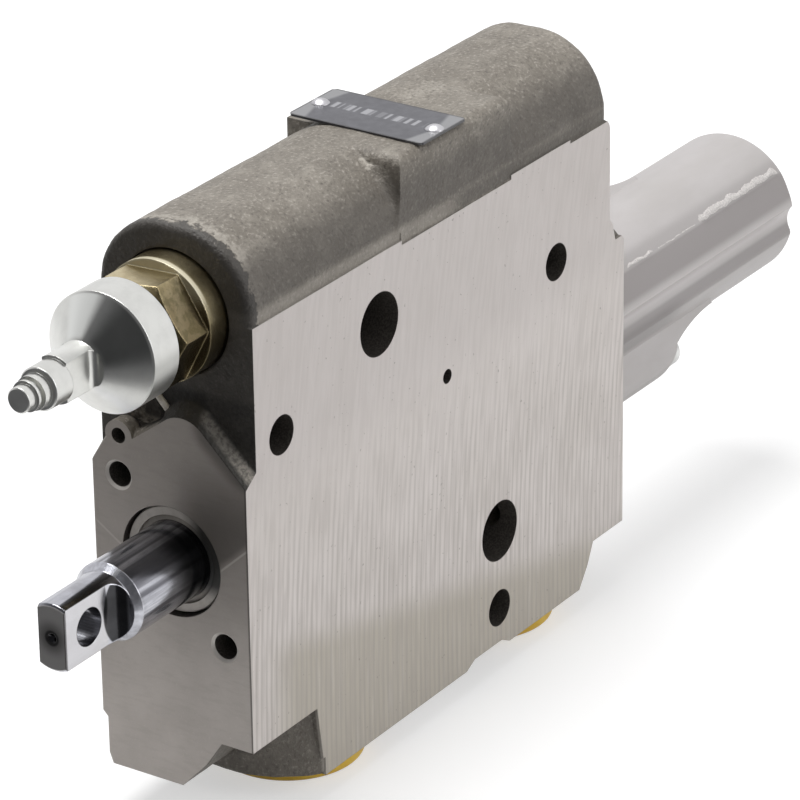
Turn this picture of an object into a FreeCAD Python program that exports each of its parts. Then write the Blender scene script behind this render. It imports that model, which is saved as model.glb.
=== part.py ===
import FreeCAD, Part
import math
import os

# Working section of a sectional directional control valve, with its spool, flow spindle and spring cap.
# X runs along the main spool from the lever end to the spring cap, Y across the section, and Z up.
# The origin is on the spool axis, in the machined front end face. All sizes are in millimetres.

# Casting
body_length = 178.8
half_thickness = 23.5
machined_top_z = 66.9
front_step = 4.6
rear_step = 7.5
rear_step_z = 28.8
rear_step_rise = 8.1
foot_z = -68.5
foot_relief = 2.0
front_foot_x = 31.5
front_foot_length = 67.0
rear_foot_x = 120.0
rear_foot_length = 36.0
rear_foot_taper = 7.2
rear_foot_bend = 4.3
rear_ledge_z = -56.5
front_bottom_z = -63.3
arch_top_z = 89.0
arch_side_gap = 0.5
arch_shoulder_radius = 20.0
arch_front_round = 2.2
arch_rear_round = 3.5
rear_corner_round = 4.0
pad_x = 70.2
pad_length = 51.6
pad_edge_round = 3.2
pad_side_gap = 0.3
pad_low_z = 65.7
pad_root_round = 3.0
rear_strip_x = 151.0
rear_strip_z = 65.9
step_recess_depth = 1.2
step_recess_x = 172.0
step_recess_foot_x = 174.3
step_recess_low_z = 30.1
far_pad_x = 87.4
far_pad_length = 18.6
far_pad_top_z = 85.0

# Machined pad on the front end face, and the cast pocket under it
end_pad_side_z = 25.2
end_pad_flare = 3.3
end_pad_shoulder_y = -10.5
end_pad_shoulder_z = 38.0
end_pad_crown_y = -5.8
end_pad_crown_z = 40.3
end_pad_fall_y = 0.8
end_pad_fall_z = 38.4
end_pad_ledge_y = 10.7
end_pad_ledge_z = 31.1
end_pad_corner_y = 19.2
end_pad_corner_z = 29.3
end_pad_back_z = 22.6
hollow_right_y = 1.2
hollow_right_bite = 0.4
hollow_bend_y = 6.2
hollow_bend_z = 43.0
hollow_top_y = 8.5
hollow_left_y = 19.0
hollow_left_z = 34.5
hollow_low_y = 11.5
hollow_low_z = 32.3
hollow_high_z = 50.5
hollow_x = 1.2
hollow_depth = 8.0
dowel_y = 15.0
dowel_z = 31.0
dowel_radius = 2.1
dowel_depth = 8.0
dowel_boss_wall = 2.0
pocket_length = 28.3
pocket_roof_z = -47.8
pocket_end_slope = 3.2
pocket_roof_depth = 9.7
pocket_floor_y = -1.2
back_inset = 1.5
back_inset_z = -50.0

# Holes through the section
tie_radius = 5.25
front_tie_x = 15.7
rear_tie_x = 143.9
upper_tie_z = 34.4
lower_tie_x = 114.9
lower_tie_z = -56.3
gallery_radius = 8.6
pressure_x = 59.5
pressure_z = 47.8
tank_x = 115.2
tank_z = -33.3
pilot_radius = 2.0
pilot_x = 90.5
pilot_z = 21.5
seal_groove_width = 2.6
seal_groove_depth = 1.5
seal_cord_radius = 0.9

# Screw holes on both end faces
bracket_pcd = 50.6
bracket_angle = 52.2
bracket_hole_radius = 3.4
bracket_hole_depth = 18.0
bracket_chamfer = 0.25
cap_screw_radius = 2.5
cap_screw_grip = 14.0

# Main spool and its bore
spool_radius = 10.5
running_gap = 0.03
spool_stroke = 7.0
stop_gap = 0.3
chamber_radius = 14.5
front_tank_x = 30.0
outer_chamber_width = 8.0
port_chamber_width = 12.0
front_port_chamber_x = 44.0
pressure_chamber_x = 84.0
pressure_chamber_width = 16.0
rear_port_chamber_x = 136.0
rear_tank_x = 154.0
chamber_overlap = 5.0
spool_waist_radius = 6.5
spool_waist_slope = 2.0
notch_radius = 1.6
notch_reach = 3.0
notch_count = 4
spool_tail = 6.5

# Eye at the front of the spool
eye_end_x = -49.2
eye_hole_x = -39.5
eye_hole_radius = 5.0
eye_thickness = 8.0
eye_bar_radius = 9.1
eye_end_chamfer = 0.7
eye_root_x = -28.0
eye_root_round = 4.5
eye_shoulder_length = 2.0
centre_drill_radius = 1.4

# Spool seals
front_recess_radius = 15.0
front_recess_depth = 9.0
rear_recess_radius = 15.0
rear_recess_depth = 6.0
retainer_setback = 1.5
retainer_length = 2.7
retainer_bore_radius = 12.0
retainer_rim_gap = 0.4
seal_gap = 0.02
fit_gap = 0.05
seal_lip_depth = 1.6
rear_washer_length = 1.5

# Spring cap
cap_radius = 21.2
cap_wall = 4.0
cap_length = 99.7
cap_end_wall = 4.0
cap_end_round = 1.4
cap_step_gap = 1.5
cap_flat_start = 141.0
cap_flat_end = 171.0
cap_flute_end = 195.0
cap_flute_depth = 1.9
foot_length = 32.2
foot_lobe_radius = 5.5
foot_root_half_width = 9.4
foot_root_reach = 14.0
foot_round_length = 6.0
foot_round_drop = 5.4
foot_round_sag = 1.6
flare_gap = 3.2
flare_length = 21.8
flare_bend = 7.6
flare_sag = 2.4
cap_screw_hole_gap = 0.3
screw_head_gap = 0.3
screw_head_radius = 4.6
screw_head_height = 4.5
screw_socket_flats = 4.0
screw_socket_depth = 2.6
cap_seal_radius = 0.7

# Centring spring and its cups
cup_flange = 2.0
spring_bore_gap = 1.3
cup_tube_wall = 2.0
cup_flange_gap = 0.5
cup_bore_gap = 0.3
sleeve_radius = 6.0
sleeve_length = 43.0
sleeve_wall = 2.7
bolt_radius = 3.0
bolt_engagement = 16.0
bolt_head_radius = 5.0
bolt_head_height = 5.0
bolt_washer_radius = 8.0
bolt_washer_length = 1.6
rear_cup_depth = 12.0
spring_wire_radius = 1.2
spring_turns = 7

# Upper bore, spindle plug and flow spindle
upper_axis_z = 66.4
plug_seat_radius = 16.6
plug_seat_depth = 2.5
plug_thread_radius = 13.5
plug_thread_end_x = 23.0
sleeve_bore_radius = 11.0
sleeve_bore_end_x = 46.0
compensator_bore_radius = 8.03
upper_bore_end_x = 150.0
upper_bore_point = 4.8
plug_flange_radius = 16.1
plug_flange_front_x = -2.4
hex_front_x = -12.2
hex_across_flats = 27.0
hex_turn = 57.4
hex_chamfer = 1.2
plug_shank_end_x = 22.0
plug_undercut_length = 2.5
plug_undercut_radius = 11.7
plug_shoulder_x = 12.0
plug_pocket_radius = 9.5
shank_radius = 6.0
spindle_head_radius = 15.85
spindle_head_front_x = -25.05
spindle_head_back_x = -14.5
spindle_neck_x = -33.3
spindle_collar_radius = 6.3
spindle_flat_half_width = 3.6
spindle_flat_front_x = -43.4
spindle_flat_round = 2.0
spindle_flat_runout = 0.4
stem_radius = 5.6
stem_front_x = -50.0
stem_ring_radius = 4.4
stem_ring_front_x = -52.6
stem_groove_radius = 3.2
stem_groove_front_x = -53.7
stem_rim_radius = 4.0
stem_rim_front_x = -54.6
stem_tip_radius = 3.3
stem_tip_x = -57.7
spindle_seal_x = 5.0
spindle_seal_cord = 0.8
spindle_seal_side_gap = 0.1
spindle_edge = 0.4
clip_width = 1.0
clip_depth = 0.9
clip_rim = 2.2
clip_opening = 7.0
clip_land = 1.2
tang_radius = 4.0
drum_gap = 0.06
drum_front_x = 15.5
drum_end_x = 40.0
drum_radius = 8.4
drum_wall = 2.0
drum_window_length = 9.0
pin_radius = 1.25
pin_setback = 3.5
throttle_window_width = 6.0
throttle_sleeve_clearance = 0.1
throttle_lip_length = 2.0
throttle_lip_radius = 6.5

# Pressure compensator
compensator_radius = 8.0
compensator_end_x = 124.0
compensator_waist_x = 54.5
compensator_waist_length = 47.5
compensator_waist_radius = 5.0
compensator_groove_width = 1.2
compensator_groove_depth = 0.5
compensator_pocket_x = 108.0
compensator_pocket_radius = 5.2
orifice_radius = 2.5
orifice_length = 4.0
orifice_bore_radius = 0.6
orifice_slot_width = 0.8
orifice_way_radius = 1.6
guide_front_x = 136.0
guide_pilot_length = 12.0
guide_pilot_radius = 2.8
guide_pilot_chamfer = 0.5
compensator_wire_radius = 0.8
compensator_coil_gap = 0.4
compensator_turns = 8

# Shuttle valve on the back face
shuttle_ball_radius = 2.4
shuttle_ball_gap = 0.3
shuttle_travel = 0.6
shuttle_seat_radius = 3.5
shuttle_seat_length = 6.0
shuttle_seat_bore = 1.6
pilot_groove_wall = 0.8
pilot_groove_width = 2.2
pilot_groove_depth = 1.2
pilot_cord_radius = 0.75

# Work ports and their shipping plugs
front_port_x = 48.8
rear_port_x = 142.0
port_radius = 13.2
port_depth = 17.0
port_passage_radius = 5.5
tank_leg_radius = 4.2
tank_leg_y = 14.0
tank_drop_radius = 3.8
inlet_radius = 4.0
outlet_x = 97.5
port_chamfer = 1.0
plug_rim_radius = 20.0
plug_rim_height = 6.3
plug_rim_round = 1.4
plug_dish_radius = 15.5
plug_dish_depth = 2.4
plug_spigot_length = 13.0
plug_spigot_wall = 1.8
plug_grip_width = 3.0

# Nameplate
plate_length = 40.9
plate_width = 21.0
plate_thickness = 0.6
plate_x = 90.7
plate_y = -2.75
plate_corner = 1.0
rivet_pitch = 35.1
rivet_radius = 1.5
rivet_head_radius = 2.5
rivet_head_height = 1.2
rivet_length = 6.0

# Places that follow from the sizes above
upper_rear_x = body_length - rear_step
arch_side_y = half_thickness - arch_side_gap
drum_window_x = front_tank_x + (outer_chamber_width - drum_window_length) / 2
metering_sleeve_end_x = sleeve_bore_end_x - throttle_sleeve_clearance
compensator_front_x = metering_sleeve_end_x + stop_gap
cap_bore_radius = cap_radius - cap_wall
cup_tube_radius = cap_bore_radius - spring_bore_gap - 2 * spring_wire_radius - cup_flange_gap
cap_step_radius = cup_tube_radius + cap_step_gap
spool_bore_radius = spool_radius + running_gap
spool_rear_x = body_length + spool_tail
front_cup_end_x = spool_rear_x + spool_stroke + stop_gap
sleeve_end_x = spool_rear_x + sleeve_length
rear_cup_end_x = sleeve_end_x + rear_cup_depth
cap_step_x = rear_cup_end_x + spool_stroke + stop_gap
cap_end_x = body_length + cap_length
foot_end_x = body_length + foot_length
plug_seat_x = front_step + plug_seat_depth
shuttle_inner_y = half_thickness - shuttle_seat_length - 2 * shuttle_ball_radius - shuttle_travel
bury = 6.0
over = 1.0
section_sides = 8


def vec(x, y, z):
    return FreeCAD.Vector(x, y, z)


def on_side(y):
    """Flat points (x, z) at one Y."""
    return lambda x, z: vec(x, y, z)


def on_end(x):
    """Flat points (y, z) at one X."""
    return lambda y, z: vec(x, y, z)


def on_level(z):
    """Flat points (x, y) at one Z."""
    return lambda x, y: vec(x, y, z)


def wire(place, start, *steps):
    """Closed wire; a step that holds two points is an arc through the first point to the second."""
    edges = []
    here = start
    for step in steps + (start,):
        if isinstance(step[0], tuple):
            middle, end = step
            edges.append(Part.Arc(place(*here), place(*middle), place(*end)).toShape())
        else:
            end = step
            edges.append(Part.LineSegment(place(*here), place(*end)).toShape())
        here = end
    return Part.Wire(edges)


def prism_y(outline, y_end):
    """Push a flat (x, z) outline along Y to y_end."""
    face = Part.Face(outline)
    return face.extrude(vec(0, y_end - outline.BoundBox.YMin, 0))


def prism_x(outline, x_end):
    """Push a flat (y, z) outline along X to x_end."""
    face = Part.Face(outline)
    return face.extrude(vec(x_end - outline.BoundBox.XMin, 0, 0))


def turned(axis_z, start, *steps):
    """Turn an (x, radius) profile round an axis along X at one height."""
    place = lambda x, r: vec(x, 0, axis_z + r)
    return Part.Face(wire(place, start, *steps)).revolve(vec(0, 0, axis_z), vec(1, 0, 0), 360)


def rod_x(x0, x1, radius, y=0.0, z=0.0):
    return Part.makeCylinder(radius, x1 - x0, vec(x0, y, z), vec(1, 0, 0))


def rod_y(y0, y1, radius, x, z):
    return Part.makeCylinder(radius, y1 - y0, vec(x, y0, z), vec(0, 1, 0))


def rod_z(z0, z1, radius, x, y=0.0):
    return Part.makeCylinder(radius, z1 - z0, vec(x, y, z0), vec(0, 0, 1))


def tube_x(x0, x1, outer, inner, y=0.0, z=0.0):
    return rod_x(x0, x1, outer, y, z).cut(rod_x(x0 - over, x1 + over, inner, y, z))


def section_ring(radius):
    """Corners of the many-sided section of a squeezed cord or a spring wire, round its middle."""
    corners = []
    for i in range(section_sides):
        angle = 2 * math.pi * (i + 0.5) / section_sides
        corners.append((radius * math.cos(angle), radius * math.sin(angle)))
    return corners


def squeezed_seal(x, radius, cord_radius, axis_z=0.0):
    """Rubber cord round an axis along X, squeezed in its groove."""
    return turned(axis_z, *[(x + a, radius + b) for a, b in section_ring(cord_radius)])


def free_seal(centre, direction, radius, cord_radius):
    """Rubber cord that stands in an open groove."""
    return Part.makeTorus(radius, cord_radius, centre, direction)


def hexagon_x(x0, x1, across_flats, y=0.0, z=0.0, turn=0.0):
    """Six-sided bar along X."""
    corner = across_flats / math.sqrt(3)
    points = []
    for i in range(6):
        angle = math.radians(60 * i + turn)
        points.append((y + corner * math.cos(angle), z + corner * math.sin(angle)))
    return prism_x(wire(on_end(x0), *points), x1)


def coil_x(x0, x1, mean_radius, wire_radius, turns, z=0.0):
    """Compression spring between two flat seats; the wire's section stands square to its lead."""
    height = x1 - x0 - 2 * wire_radius
    pitch = height / turns
    lead = math.atan2(pitch, 2 * math.pi * mean_radius)
    corners = [vec(mean_radius + a, -b * math.sin(lead), b * math.cos(lead))
               for a, b in section_ring(wire_radius)]
    section = Part.makePolygon(corners + corners[:1])
    path = Part.Wire(Part.makeHelix(pitch, height, mean_radius))
    spring = path.makePipeShell([section], True, True)
    spring.rotate(vec(0, 0, 0), vec(0, 1, 0), 90)
    spring.translate(vec(x0 + wire_radius, 0, z))
    return spring


def screw_places():
    """The two places, (y, z), on the end faces' screw circle."""
    radius = bracket_pcd / 2
    places = []
    for turn in (0, 180):
        angle = math.radians(bracket_angle + turn)
        places.append((radius * math.cos(angle), radius * math.sin(angle)))
    return places


def solid_of(shape):
    """The one clean solid in a finished shape."""
    clean = shape.removeSplitter()
    return clean.Solids[0] if len(clean.Solids) == 1 else clean


def slab():
    """The section between its two machined side faces."""
    front_foot_end = front_foot_x + front_foot_length
    rear_foot_end = rear_foot_x + rear_foot_length
    relief_z = foot_z + foot_relief
    taper_x = rear_foot_end + rear_foot_taper
    corner = rear_corner_round * (1 - math.sqrt(0.5))
    outline = wire(
        on_side(-half_thickness),
        (0, front_bottom_z),
        (0, 0),
        (front_step, 0),
        (front_step, machined_top_z),
        (upper_rear_x - rear_corner_round, machined_top_z),
        ((upper_rear_x - corner, machined_top_z - corner), (upper_rear_x, machined_top_z - rear_corner_round)),
        (upper_rear_x, rear_step_z + rear_step_rise),
        (body_length, rear_step_z),
        (body_length, rear_ledge_z),
        (taper_x, rear_ledge_z),
        (rear_foot_end + rear_foot_bend, (foot_z + rear_ledge_z) / 2),
        (rear_foot_end, foot_z),
        (rear_foot_x, foot_z),
        (rear_foot_x - 2 * foot_relief, relief_z),
        (front_foot_end + 2 * foot_relief, relief_z),
        (front_foot_end, foot_z),
        (front_foot_x, foot_z),
        (front_foot_x, front_bottom_z),
    )
    return prism_y(outline, half_thickness)


def end_pad():
    """Machined pad round the spool, whose cast upper edge flares back to the wall behind it."""
    def section(x, flare):
        return wire(
            on_end(x),
            (-half_thickness, -bury),
            (-half_thickness, end_pad_side_z + flare),
            (end_pad_shoulder_y, end_pad_shoulder_z + flare),
            ((end_pad_crown_y, end_pad_crown_z + flare), (end_pad_fall_y, end_pad_fall_z + flare)),
            (end_pad_ledge_y, end_pad_ledge_z + flare),
            (end_pad_corner_y, end_pad_corner_z + flare),
            (half_thickness, end_pad_back_z + flare),
            (half_thickness, -bury),
        )
    return Part.makeLoft([section(0, 0), section(front_step, end_pad_flare)], True, True)


def arch():
    """Cast barrel over the upper bore: flat crown, large shoulders and rounded ends."""
    centre_y = arch_side_y - arch_shoulder_radius
    centre_z = arch_top_z - arch_shoulder_radius
    bulge = arch_shoulder_radius * math.sqrt(0.5)
    base_z = machined_top_z - 3 * bury
    outline = wire(
        on_end(front_step),
        (-arch_side_y, base_z),
        (-arch_side_y, centre_z),
        ((-centre_y - bulge, centre_z + bulge), (-centre_y, arch_top_z)),
        (centre_y, arch_top_z),
        ((centre_y + bulge, centre_z + bulge), (arch_side_y, centre_z)),
        (arch_side_y, base_z),
    )
    barrel = prism_x(outline, upper_rear_x)
    for end_x, radius in ((front_step, arch_front_round), (upper_rear_x, arch_rear_round)):
        rim = [e for e in barrel.Edges
               if abs(e.CenterOfMass.x - end_x) < 1e-6 and e.CenterOfMass.z > base_z + 1e-6]
        barrel = barrel.makeFillet(radius, rim)
    return barrel


def plate_pad():
    """Cast blocks on both sides of the barrel: a long one under the nameplate, a short low one behind."""
    side_y = half_thickness - pad_side_gap
    base_z = machined_top_z - bury
    near = Part.makeBox(pad_length, side_y, arch_top_z - base_z, vec(pad_x, -side_y, base_z))
    top = [e for e in near.Edges
           if abs(e.CenterOfMass.z - arch_top_z) < 1e-6 and e.CenterOfMass.y < -1e-6]
    far = Part.makeBox(far_pad_length, side_y, far_pad_top_z - base_z, vec(far_pad_x, 0, base_z))
    return near.makeFillet(pad_edge_round, top).fuse(far)


def pad_roots():
    """Cast fillets between the barrel's shoulder and the two ends of the long block."""
    centre_y = arch_shoulder_radius - arch_side_y
    centre_z = arch_top_z - arch_shoulder_radius
    side_y = half_thickness - pad_side_gap
    bulge = pad_root_round * (1 - math.sqrt(0.5))
    low_r = arch_shoulder_radius - over
    roots = []
    for x, away in ((pad_x, -1), (pad_x + pad_length, 1)):
        toe_x = x + away * pad_root_round
        profile = wire(
            lambda a, r: vec(a, centre_y, centre_z + r),
            (x - away * over, low_r),
            (toe_x, low_r),
            (toe_x, arch_shoulder_radius),
            ((x + away * bulge, arch_shoulder_radius + bulge), (x, arch_shoulder_radius + pad_root_round)),
            (x - away * over, arch_shoulder_radius + pad_root_round),
        )
        ring = Part.Face(profile).revolve(vec(0, centre_y, centre_z), vec(1, 0, 0), 90)
        room = Part.makeBox(2 * pad_root_round, side_y, arch_top_z - pad_edge_round - centre_z,
                            vec(x - pad_root_round, -side_y, centre_z))
        roots.append(ring.common(room))
    return roots


def step_recess():
    """Cast corner under the rear step, left below the milled side."""
    skin_y = -half_thickness + step_recess_depth
    return Part.Face(wire(
        on_side(skin_y),
        (step_recess_x, rear_step_z + rear_step_rise + over),
        (step_recess_foot_x, step_recess_low_z),
        (body_length + over, step_recess_low_z),
        (body_length + over, rear_step_z + rear_step_rise + over),
    )).extrude(vec(0, -step_recess_depth - over, 0))


def side_strips():
    """Cast strips below the pad and at the barrel's rear end, a little lower than the milled side."""
    rear_length = upper_rear_x + over - rear_strip_x
    skin_y = -half_thickness - over
    return [
        Part.makeBox(pad_length, over + pad_side_gap, machined_top_z - pad_low_z,
                     vec(pad_x, skin_y, pad_low_z)),
        Part.makeBox(rear_length, over + arch_side_gap, machined_top_z - rear_strip_z,
                     vec(rear_strip_x, skin_y, rear_strip_z)),
    ]


def wall_hollow():
    """Cast hollow in the end wall above the machined pad, beside the dowel boss."""
    return prism_x(wire(
        on_end(hollow_x),
        (hollow_right_y, end_pad_fall_z - hollow_right_bite),
        (hollow_bend_y, hollow_bend_z),
        (hollow_top_y, hollow_high_z),
        (hollow_left_y, hollow_high_z),
        (hollow_left_y, hollow_left_z),
        (hollow_low_y, hollow_low_z),
    ), hollow_depth)


def front_pocket():
    """Cast hollow at the lower front corner of the visible side."""
    side_view = prism_y(wire(
        on_side(-half_thickness - over),
        (-over, pocket_roof_z),
        (pocket_length, pocket_roof_z),
        (pocket_length + pocket_end_slope, foot_z - over),
        (-over, foot_z - over),
    ), 0)
    roof_end_y = -half_thickness + pocket_roof_depth
    end_view = prism_x(wire(
        on_end(-over),
        (-half_thickness - over, pocket_roof_z),
        (roof_end_y, pocket_roof_z),
        ((roof_end_y + pocket_floor_y) / 2 - over, (pocket_roof_z + front_bottom_z) / 2),
        (pocket_floor_y, front_bottom_z),
        (pocket_floor_y, foot_z - over),
        (-half_thickness - over, foot_z - over),
    ), front_foot_x + over)
    return side_view.common(end_view)


def back_inset_cut():
    """The lower front corner of the back side is cast a little below the machined face."""
    return prism_x(wire(
        on_end(-over),
        (half_thickness + over, back_inset_z + back_inset),
        (half_thickness, back_inset_z + back_inset),
        (half_thickness - back_inset, back_inset_z),
        (half_thickness - back_inset, front_bottom_z + 2 * back_inset),
        (half_thickness - 2 * back_inset, front_bottom_z - over),
        (half_thickness + over, front_bottom_z - over),
    ), front_foot_x)


def spool_bore():
    """Bore, seal recesses and ring chambers along the main spool."""
    cuts = [
        rod_x(-over, body_length + over, spool_bore_radius),
        rod_x(-over, front_recess_depth, front_recess_radius),
        rod_x(body_length - rear_recess_depth, body_length + over, rear_recess_radius),
    ]
    chambers = (
        (front_tank_x, outer_chamber_width),
        (front_port_chamber_x, port_chamber_width),
        (pressure_chamber_x, pressure_chamber_width),
        (rear_port_chamber_x, port_chamber_width),
        (rear_tank_x, outer_chamber_width),
    )
    for x, width in chambers:
        cuts.append(rod_x(x, x + width, chamber_radius))
    return cuts


def upper_bore():
    """Stepped bore for the plug, the throttle sleeve and the compensator, with a drilled end."""
    return turned(
        upper_axis_z,
        (-over, 0),
        (-over, plug_seat_radius),
        (plug_seat_x, plug_seat_radius),
        (plug_seat_x, plug_thread_radius),
        (plug_thread_end_x, plug_thread_radius),
        (plug_thread_end_x, sleeve_bore_radius),
        (sleeve_bore_end_x, sleeve_bore_radius),
        (sleeve_bore_end_x, compensator_bore_radius),
        (upper_bore_end_x, compensator_bore_radius),
        (upper_bore_end_x + upper_bore_point, 0),
    )


def cross_holes():
    """Tie-rod holes, oil galleries, pilot hole and the seal grooves of the back face."""
    near = -half_thickness - over
    far = half_thickness + over
    groove_y = half_thickness - seal_groove_depth
    cuts = []
    for x, z in ((front_tie_x, upper_tie_z), (rear_tie_x, upper_tie_z), (lower_tie_x, lower_tie_z)):
        cuts.append(rod_y(near, far, tie_radius, x, z))
    for x, z in ((pressure_x, pressure_z), (tank_x, tank_z)):
        cuts.append(rod_y(near, far, gallery_radius, x, z))
        cuts.append(rod_y(groove_y, far, gallery_radius + seal_groove_width, x, z))
    cuts.append(rod_y(near, far, pilot_radius, pilot_x, pilot_z))
    ball_bore = shuttle_ball_radius + shuttle_ball_gap
    cuts.append(rod_y(shuttle_inner_y, far, ball_bore, pilot_x, pilot_z))
    cuts.append(rod_y(half_thickness - shuttle_seat_length, far, shuttle_seat_radius, pilot_x, pilot_z))
    inner = shuttle_seat_radius + pilot_groove_wall
    groove = rod_y(half_thickness - pilot_groove_depth, far, inner + pilot_groove_width, pilot_x, pilot_z)
    cuts.append(groove.cut(rod_y(0, far + over, inner, pilot_x, pilot_z)))
    return cuts


def end_screw_holes():
    """Tapped holes: two for the lever bracket in front, two for the spring cap behind, and one dowel hole."""
    cuts = []
    for y, z in screw_places():
        cuts.append(rod_x(-over, bracket_hole_depth, bracket_hole_radius, y, z))
        mouth_radius = bracket_hole_radius + bracket_chamfer
        cuts.append(Part.makeCone(mouth_radius, bracket_hole_radius, bracket_chamfer,
                                  vec(0, y, z), vec(1, 0, 0)))
        thread = cap_screw_radius + seal_gap
        cuts.append(rod_x(body_length - cap_screw_grip - over, body_length + over, thread, y, z))
    cuts.append(rod_x(-over, dowel_depth, dowel_radius, dowel_y, dowel_z))
    return cuts


def ports_and_passages():
    """Work ports from below and the oil ways between bores."""
    top_z = foot_z + port_depth
    cuts = []
    for x, chamber_x in ((front_port_x, front_port_chamber_x), (rear_port_x, rear_port_chamber_x)):
        way_x = chamber_x + port_chamber_width / 2
        cuts.append(rod_z(foot_z - over, top_z, port_radius, x))
        mouth = Part.makeCone(port_radius + port_chamfer, port_radius, port_chamfer, vec(x, 0, foot_z))
        cuts.append(mouth)
        cuts.append(rod_z(top_z - over, -spool_radius, port_passage_radius, way_x))
    legs = (
        (front_tank_x + outer_chamber_width / 2, tank_leg_y),
        (rear_tank_x + outer_chamber_width / 2, -tank_leg_y),
    )
    for way_x, side_y in legs:
        low, high = sorted((way_x, tank_x))
        cuts.append(rod_x(low, high, tank_leg_radius, side_y, tank_z))
        near, far = sorted((0.0, side_y))
        cuts.append(rod_y(near, far, tank_drop_radius, way_x, tank_z))
        cuts.append(rod_z(tank_z, -spool_radius, tank_drop_radius, way_x))
    cuts.append(rod_z(pressure_z, upper_axis_z, inlet_radius, pressure_x))
    for x in (outlet_x, front_tank_x + outer_chamber_width / 2):
        cuts.append(rod_z(spool_radius, upper_axis_z, inlet_radius, x))
    return cuts


def rivet_places():
    return [(plate_x, plate_y + side * rivet_pitch / 2) for side in (-1, 1)]


def valve_body():
    dowel_boss = rod_x(0, front_step, dowel_radius + dowel_boss_wall, dowel_y, dowel_z)
    body = slab().fuse([end_pad(), arch(), plate_pad()] + pad_roots()).cut(wall_hollow()).fuse(dowel_boss)
    cuts = [front_pocket(), back_inset_cut(), upper_bore(), step_recess()] + side_strips()
    cuts += spool_bore() + cross_holes() + end_screw_holes() + ports_and_passages()
    for x, y in rivet_places():
        cuts.append(rod_z(arch_top_z - rivet_length, arch_top_z + over, rivet_radius, x, y))
    return body.cut(cuts)


def port_plug(x):
    """Flanged plastic shipping plug: threaded cup above the flange, dished face with a grip bar below."""
    low_z = foot_z - plug_rim_height
    rim = rod_z(low_z, foot_z, plug_rim_radius, x)
    edges = [e for e in rim.Edges if isinstance(e.Curve, Part.Circle)]
    rim = rim.makeFillet(plug_rim_round, edges)
    spigot_radius = port_radius - fit_gap
    spigot = rod_z(foot_z - over, foot_z + plug_spigot_length, spigot_radius, x)
    cup = rod_z(foot_z, foot_z + plug_spigot_length + over, spigot_radius - plug_spigot_wall, x)
    dish = rod_z(low_z - over, low_z + plug_dish_depth, plug_dish_radius, x)
    bar = Part.makeBox(2 * plug_dish_radius, plug_grip_width, plug_dish_depth,
                       vec(x - plug_dish_radius, -plug_grip_width / 2, low_z))
    return rim.fuse(spigot).cut([cup, dish]).fuse(bar)


def nameplate():
    """Thin metal plate with clipped corners, riveted over the barrel."""
    half_x = plate_width / 2
    half_y = plate_length / 2
    c = plate_corner
    corners = [
        (-half_x + c, -half_y), (half_x - c, -half_y), (half_x, -half_y + c), (half_x, half_y - c),
        (half_x - c, half_y), (-half_x + c, half_y), (-half_x, half_y - c), (-half_x, -half_y + c),
    ]
    points = [(plate_x + x, plate_y + y) for x, y in corners]
    plate = Part.Face(wire(on_level(arch_top_z), *points)).extrude(vec(0, 0, plate_thickness))
    holes = [rod_z(arch_top_z - over, arch_top_z + plate_thickness + over, rivet_radius, x, y)
             for x, y in rivet_places()]
    return plate.cut(holes)


def nameplate_rivets():
    """Two drive rivets with domed heads."""
    seat_z = arch_top_z + plate_thickness
    sphere_radius = (rivet_head_radius ** 2 + rivet_head_height ** 2) / (2 * rivet_head_height)
    centre_z = seat_z + rivet_head_height - sphere_radius
    rivets = []
    for x, y in rivet_places():
        shank = rod_z(arch_top_z - rivet_length + over, seat_z, rivet_radius - seal_gap, x, y)
        ball = Part.makeSphere(sphere_radius, vec(x, y, centre_z))
        dome = ball.common(rod_z(seat_z, seat_z + rivet_head_height, rivet_head_radius, x, y))
        rivets.append(shank.fuse(dome).removeSplitter())
    return Part.makeCompound(rivets)


def front_spool_seal():
    """Lip seal at the bottom of the front recess, its lips towards the oil."""
    x0 = retainer_setback + retainer_length
    x1 = front_recess_depth
    inner = spool_radius + seal_gap
    outer = front_recess_radius - fit_gap
    third = (outer - inner) / 3
    return turned(
        0,
        (x0, inner),
        (x0, outer),
        (x1, outer),
        (x1, outer - third),
        (x1 - seal_lip_depth, outer - 1.5 * third),
        (x1, inner + third),
        (x1, inner),
    )


def seal_retainer():
    """Grey metal ring in the mouth of the front recess."""
    x0 = retainer_setback
    x1 = x0 + retainer_length
    outer = front_recess_radius - retainer_rim_gap
    return turned(
        0,
        (x0, retainer_bore_radius),
        (x0, outer - retainer_rim_gap),
        (x0 + 2 * retainer_rim_gap, outer),
        (x1, outer),
        (x1, retainer_bore_radius),
    )


def wiper_seal():
    """Black wiper inside the retainer; its lip leans outwards over the spool."""
    x0 = retainer_setback + retainer_rim_gap
    x1 = retainer_setback + retainer_length
    inner = spool_radius + seal_gap
    outer = retainer_bore_radius - seal_gap
    return turned(
        0,
        (x0, inner),
        (x0 + retainer_rim_gap, outer),
        (x1, outer),
        (x1, inner + retainer_rim_gap),
        (x0 + 2 * retainer_rim_gap, inner + retainer_rim_gap),
    )


def rear_spool_seal():
    """Lip seal at the rear of the spool bore."""
    x0 = body_length - rear_recess_depth
    x1 = body_length - rear_washer_length
    inner = spool_radius + seal_gap
    outer = rear_recess_radius - fit_gap
    third = (outer - inner) / 3
    return turned(
        0,
        (x1, inner),
        (x1, outer),
        (x0, outer),
        (x0, outer - third),
        (x0 + seal_lip_depth, outer - 1.5 * third),
        (x0, inner + third),
        (x0, inner),
    )


def rear_seal_washer():
    return tube_x(body_length - rear_washer_length, body_length, rear_recess_radius - fit_gap,
                  spool_radius + fit_gap)


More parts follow.
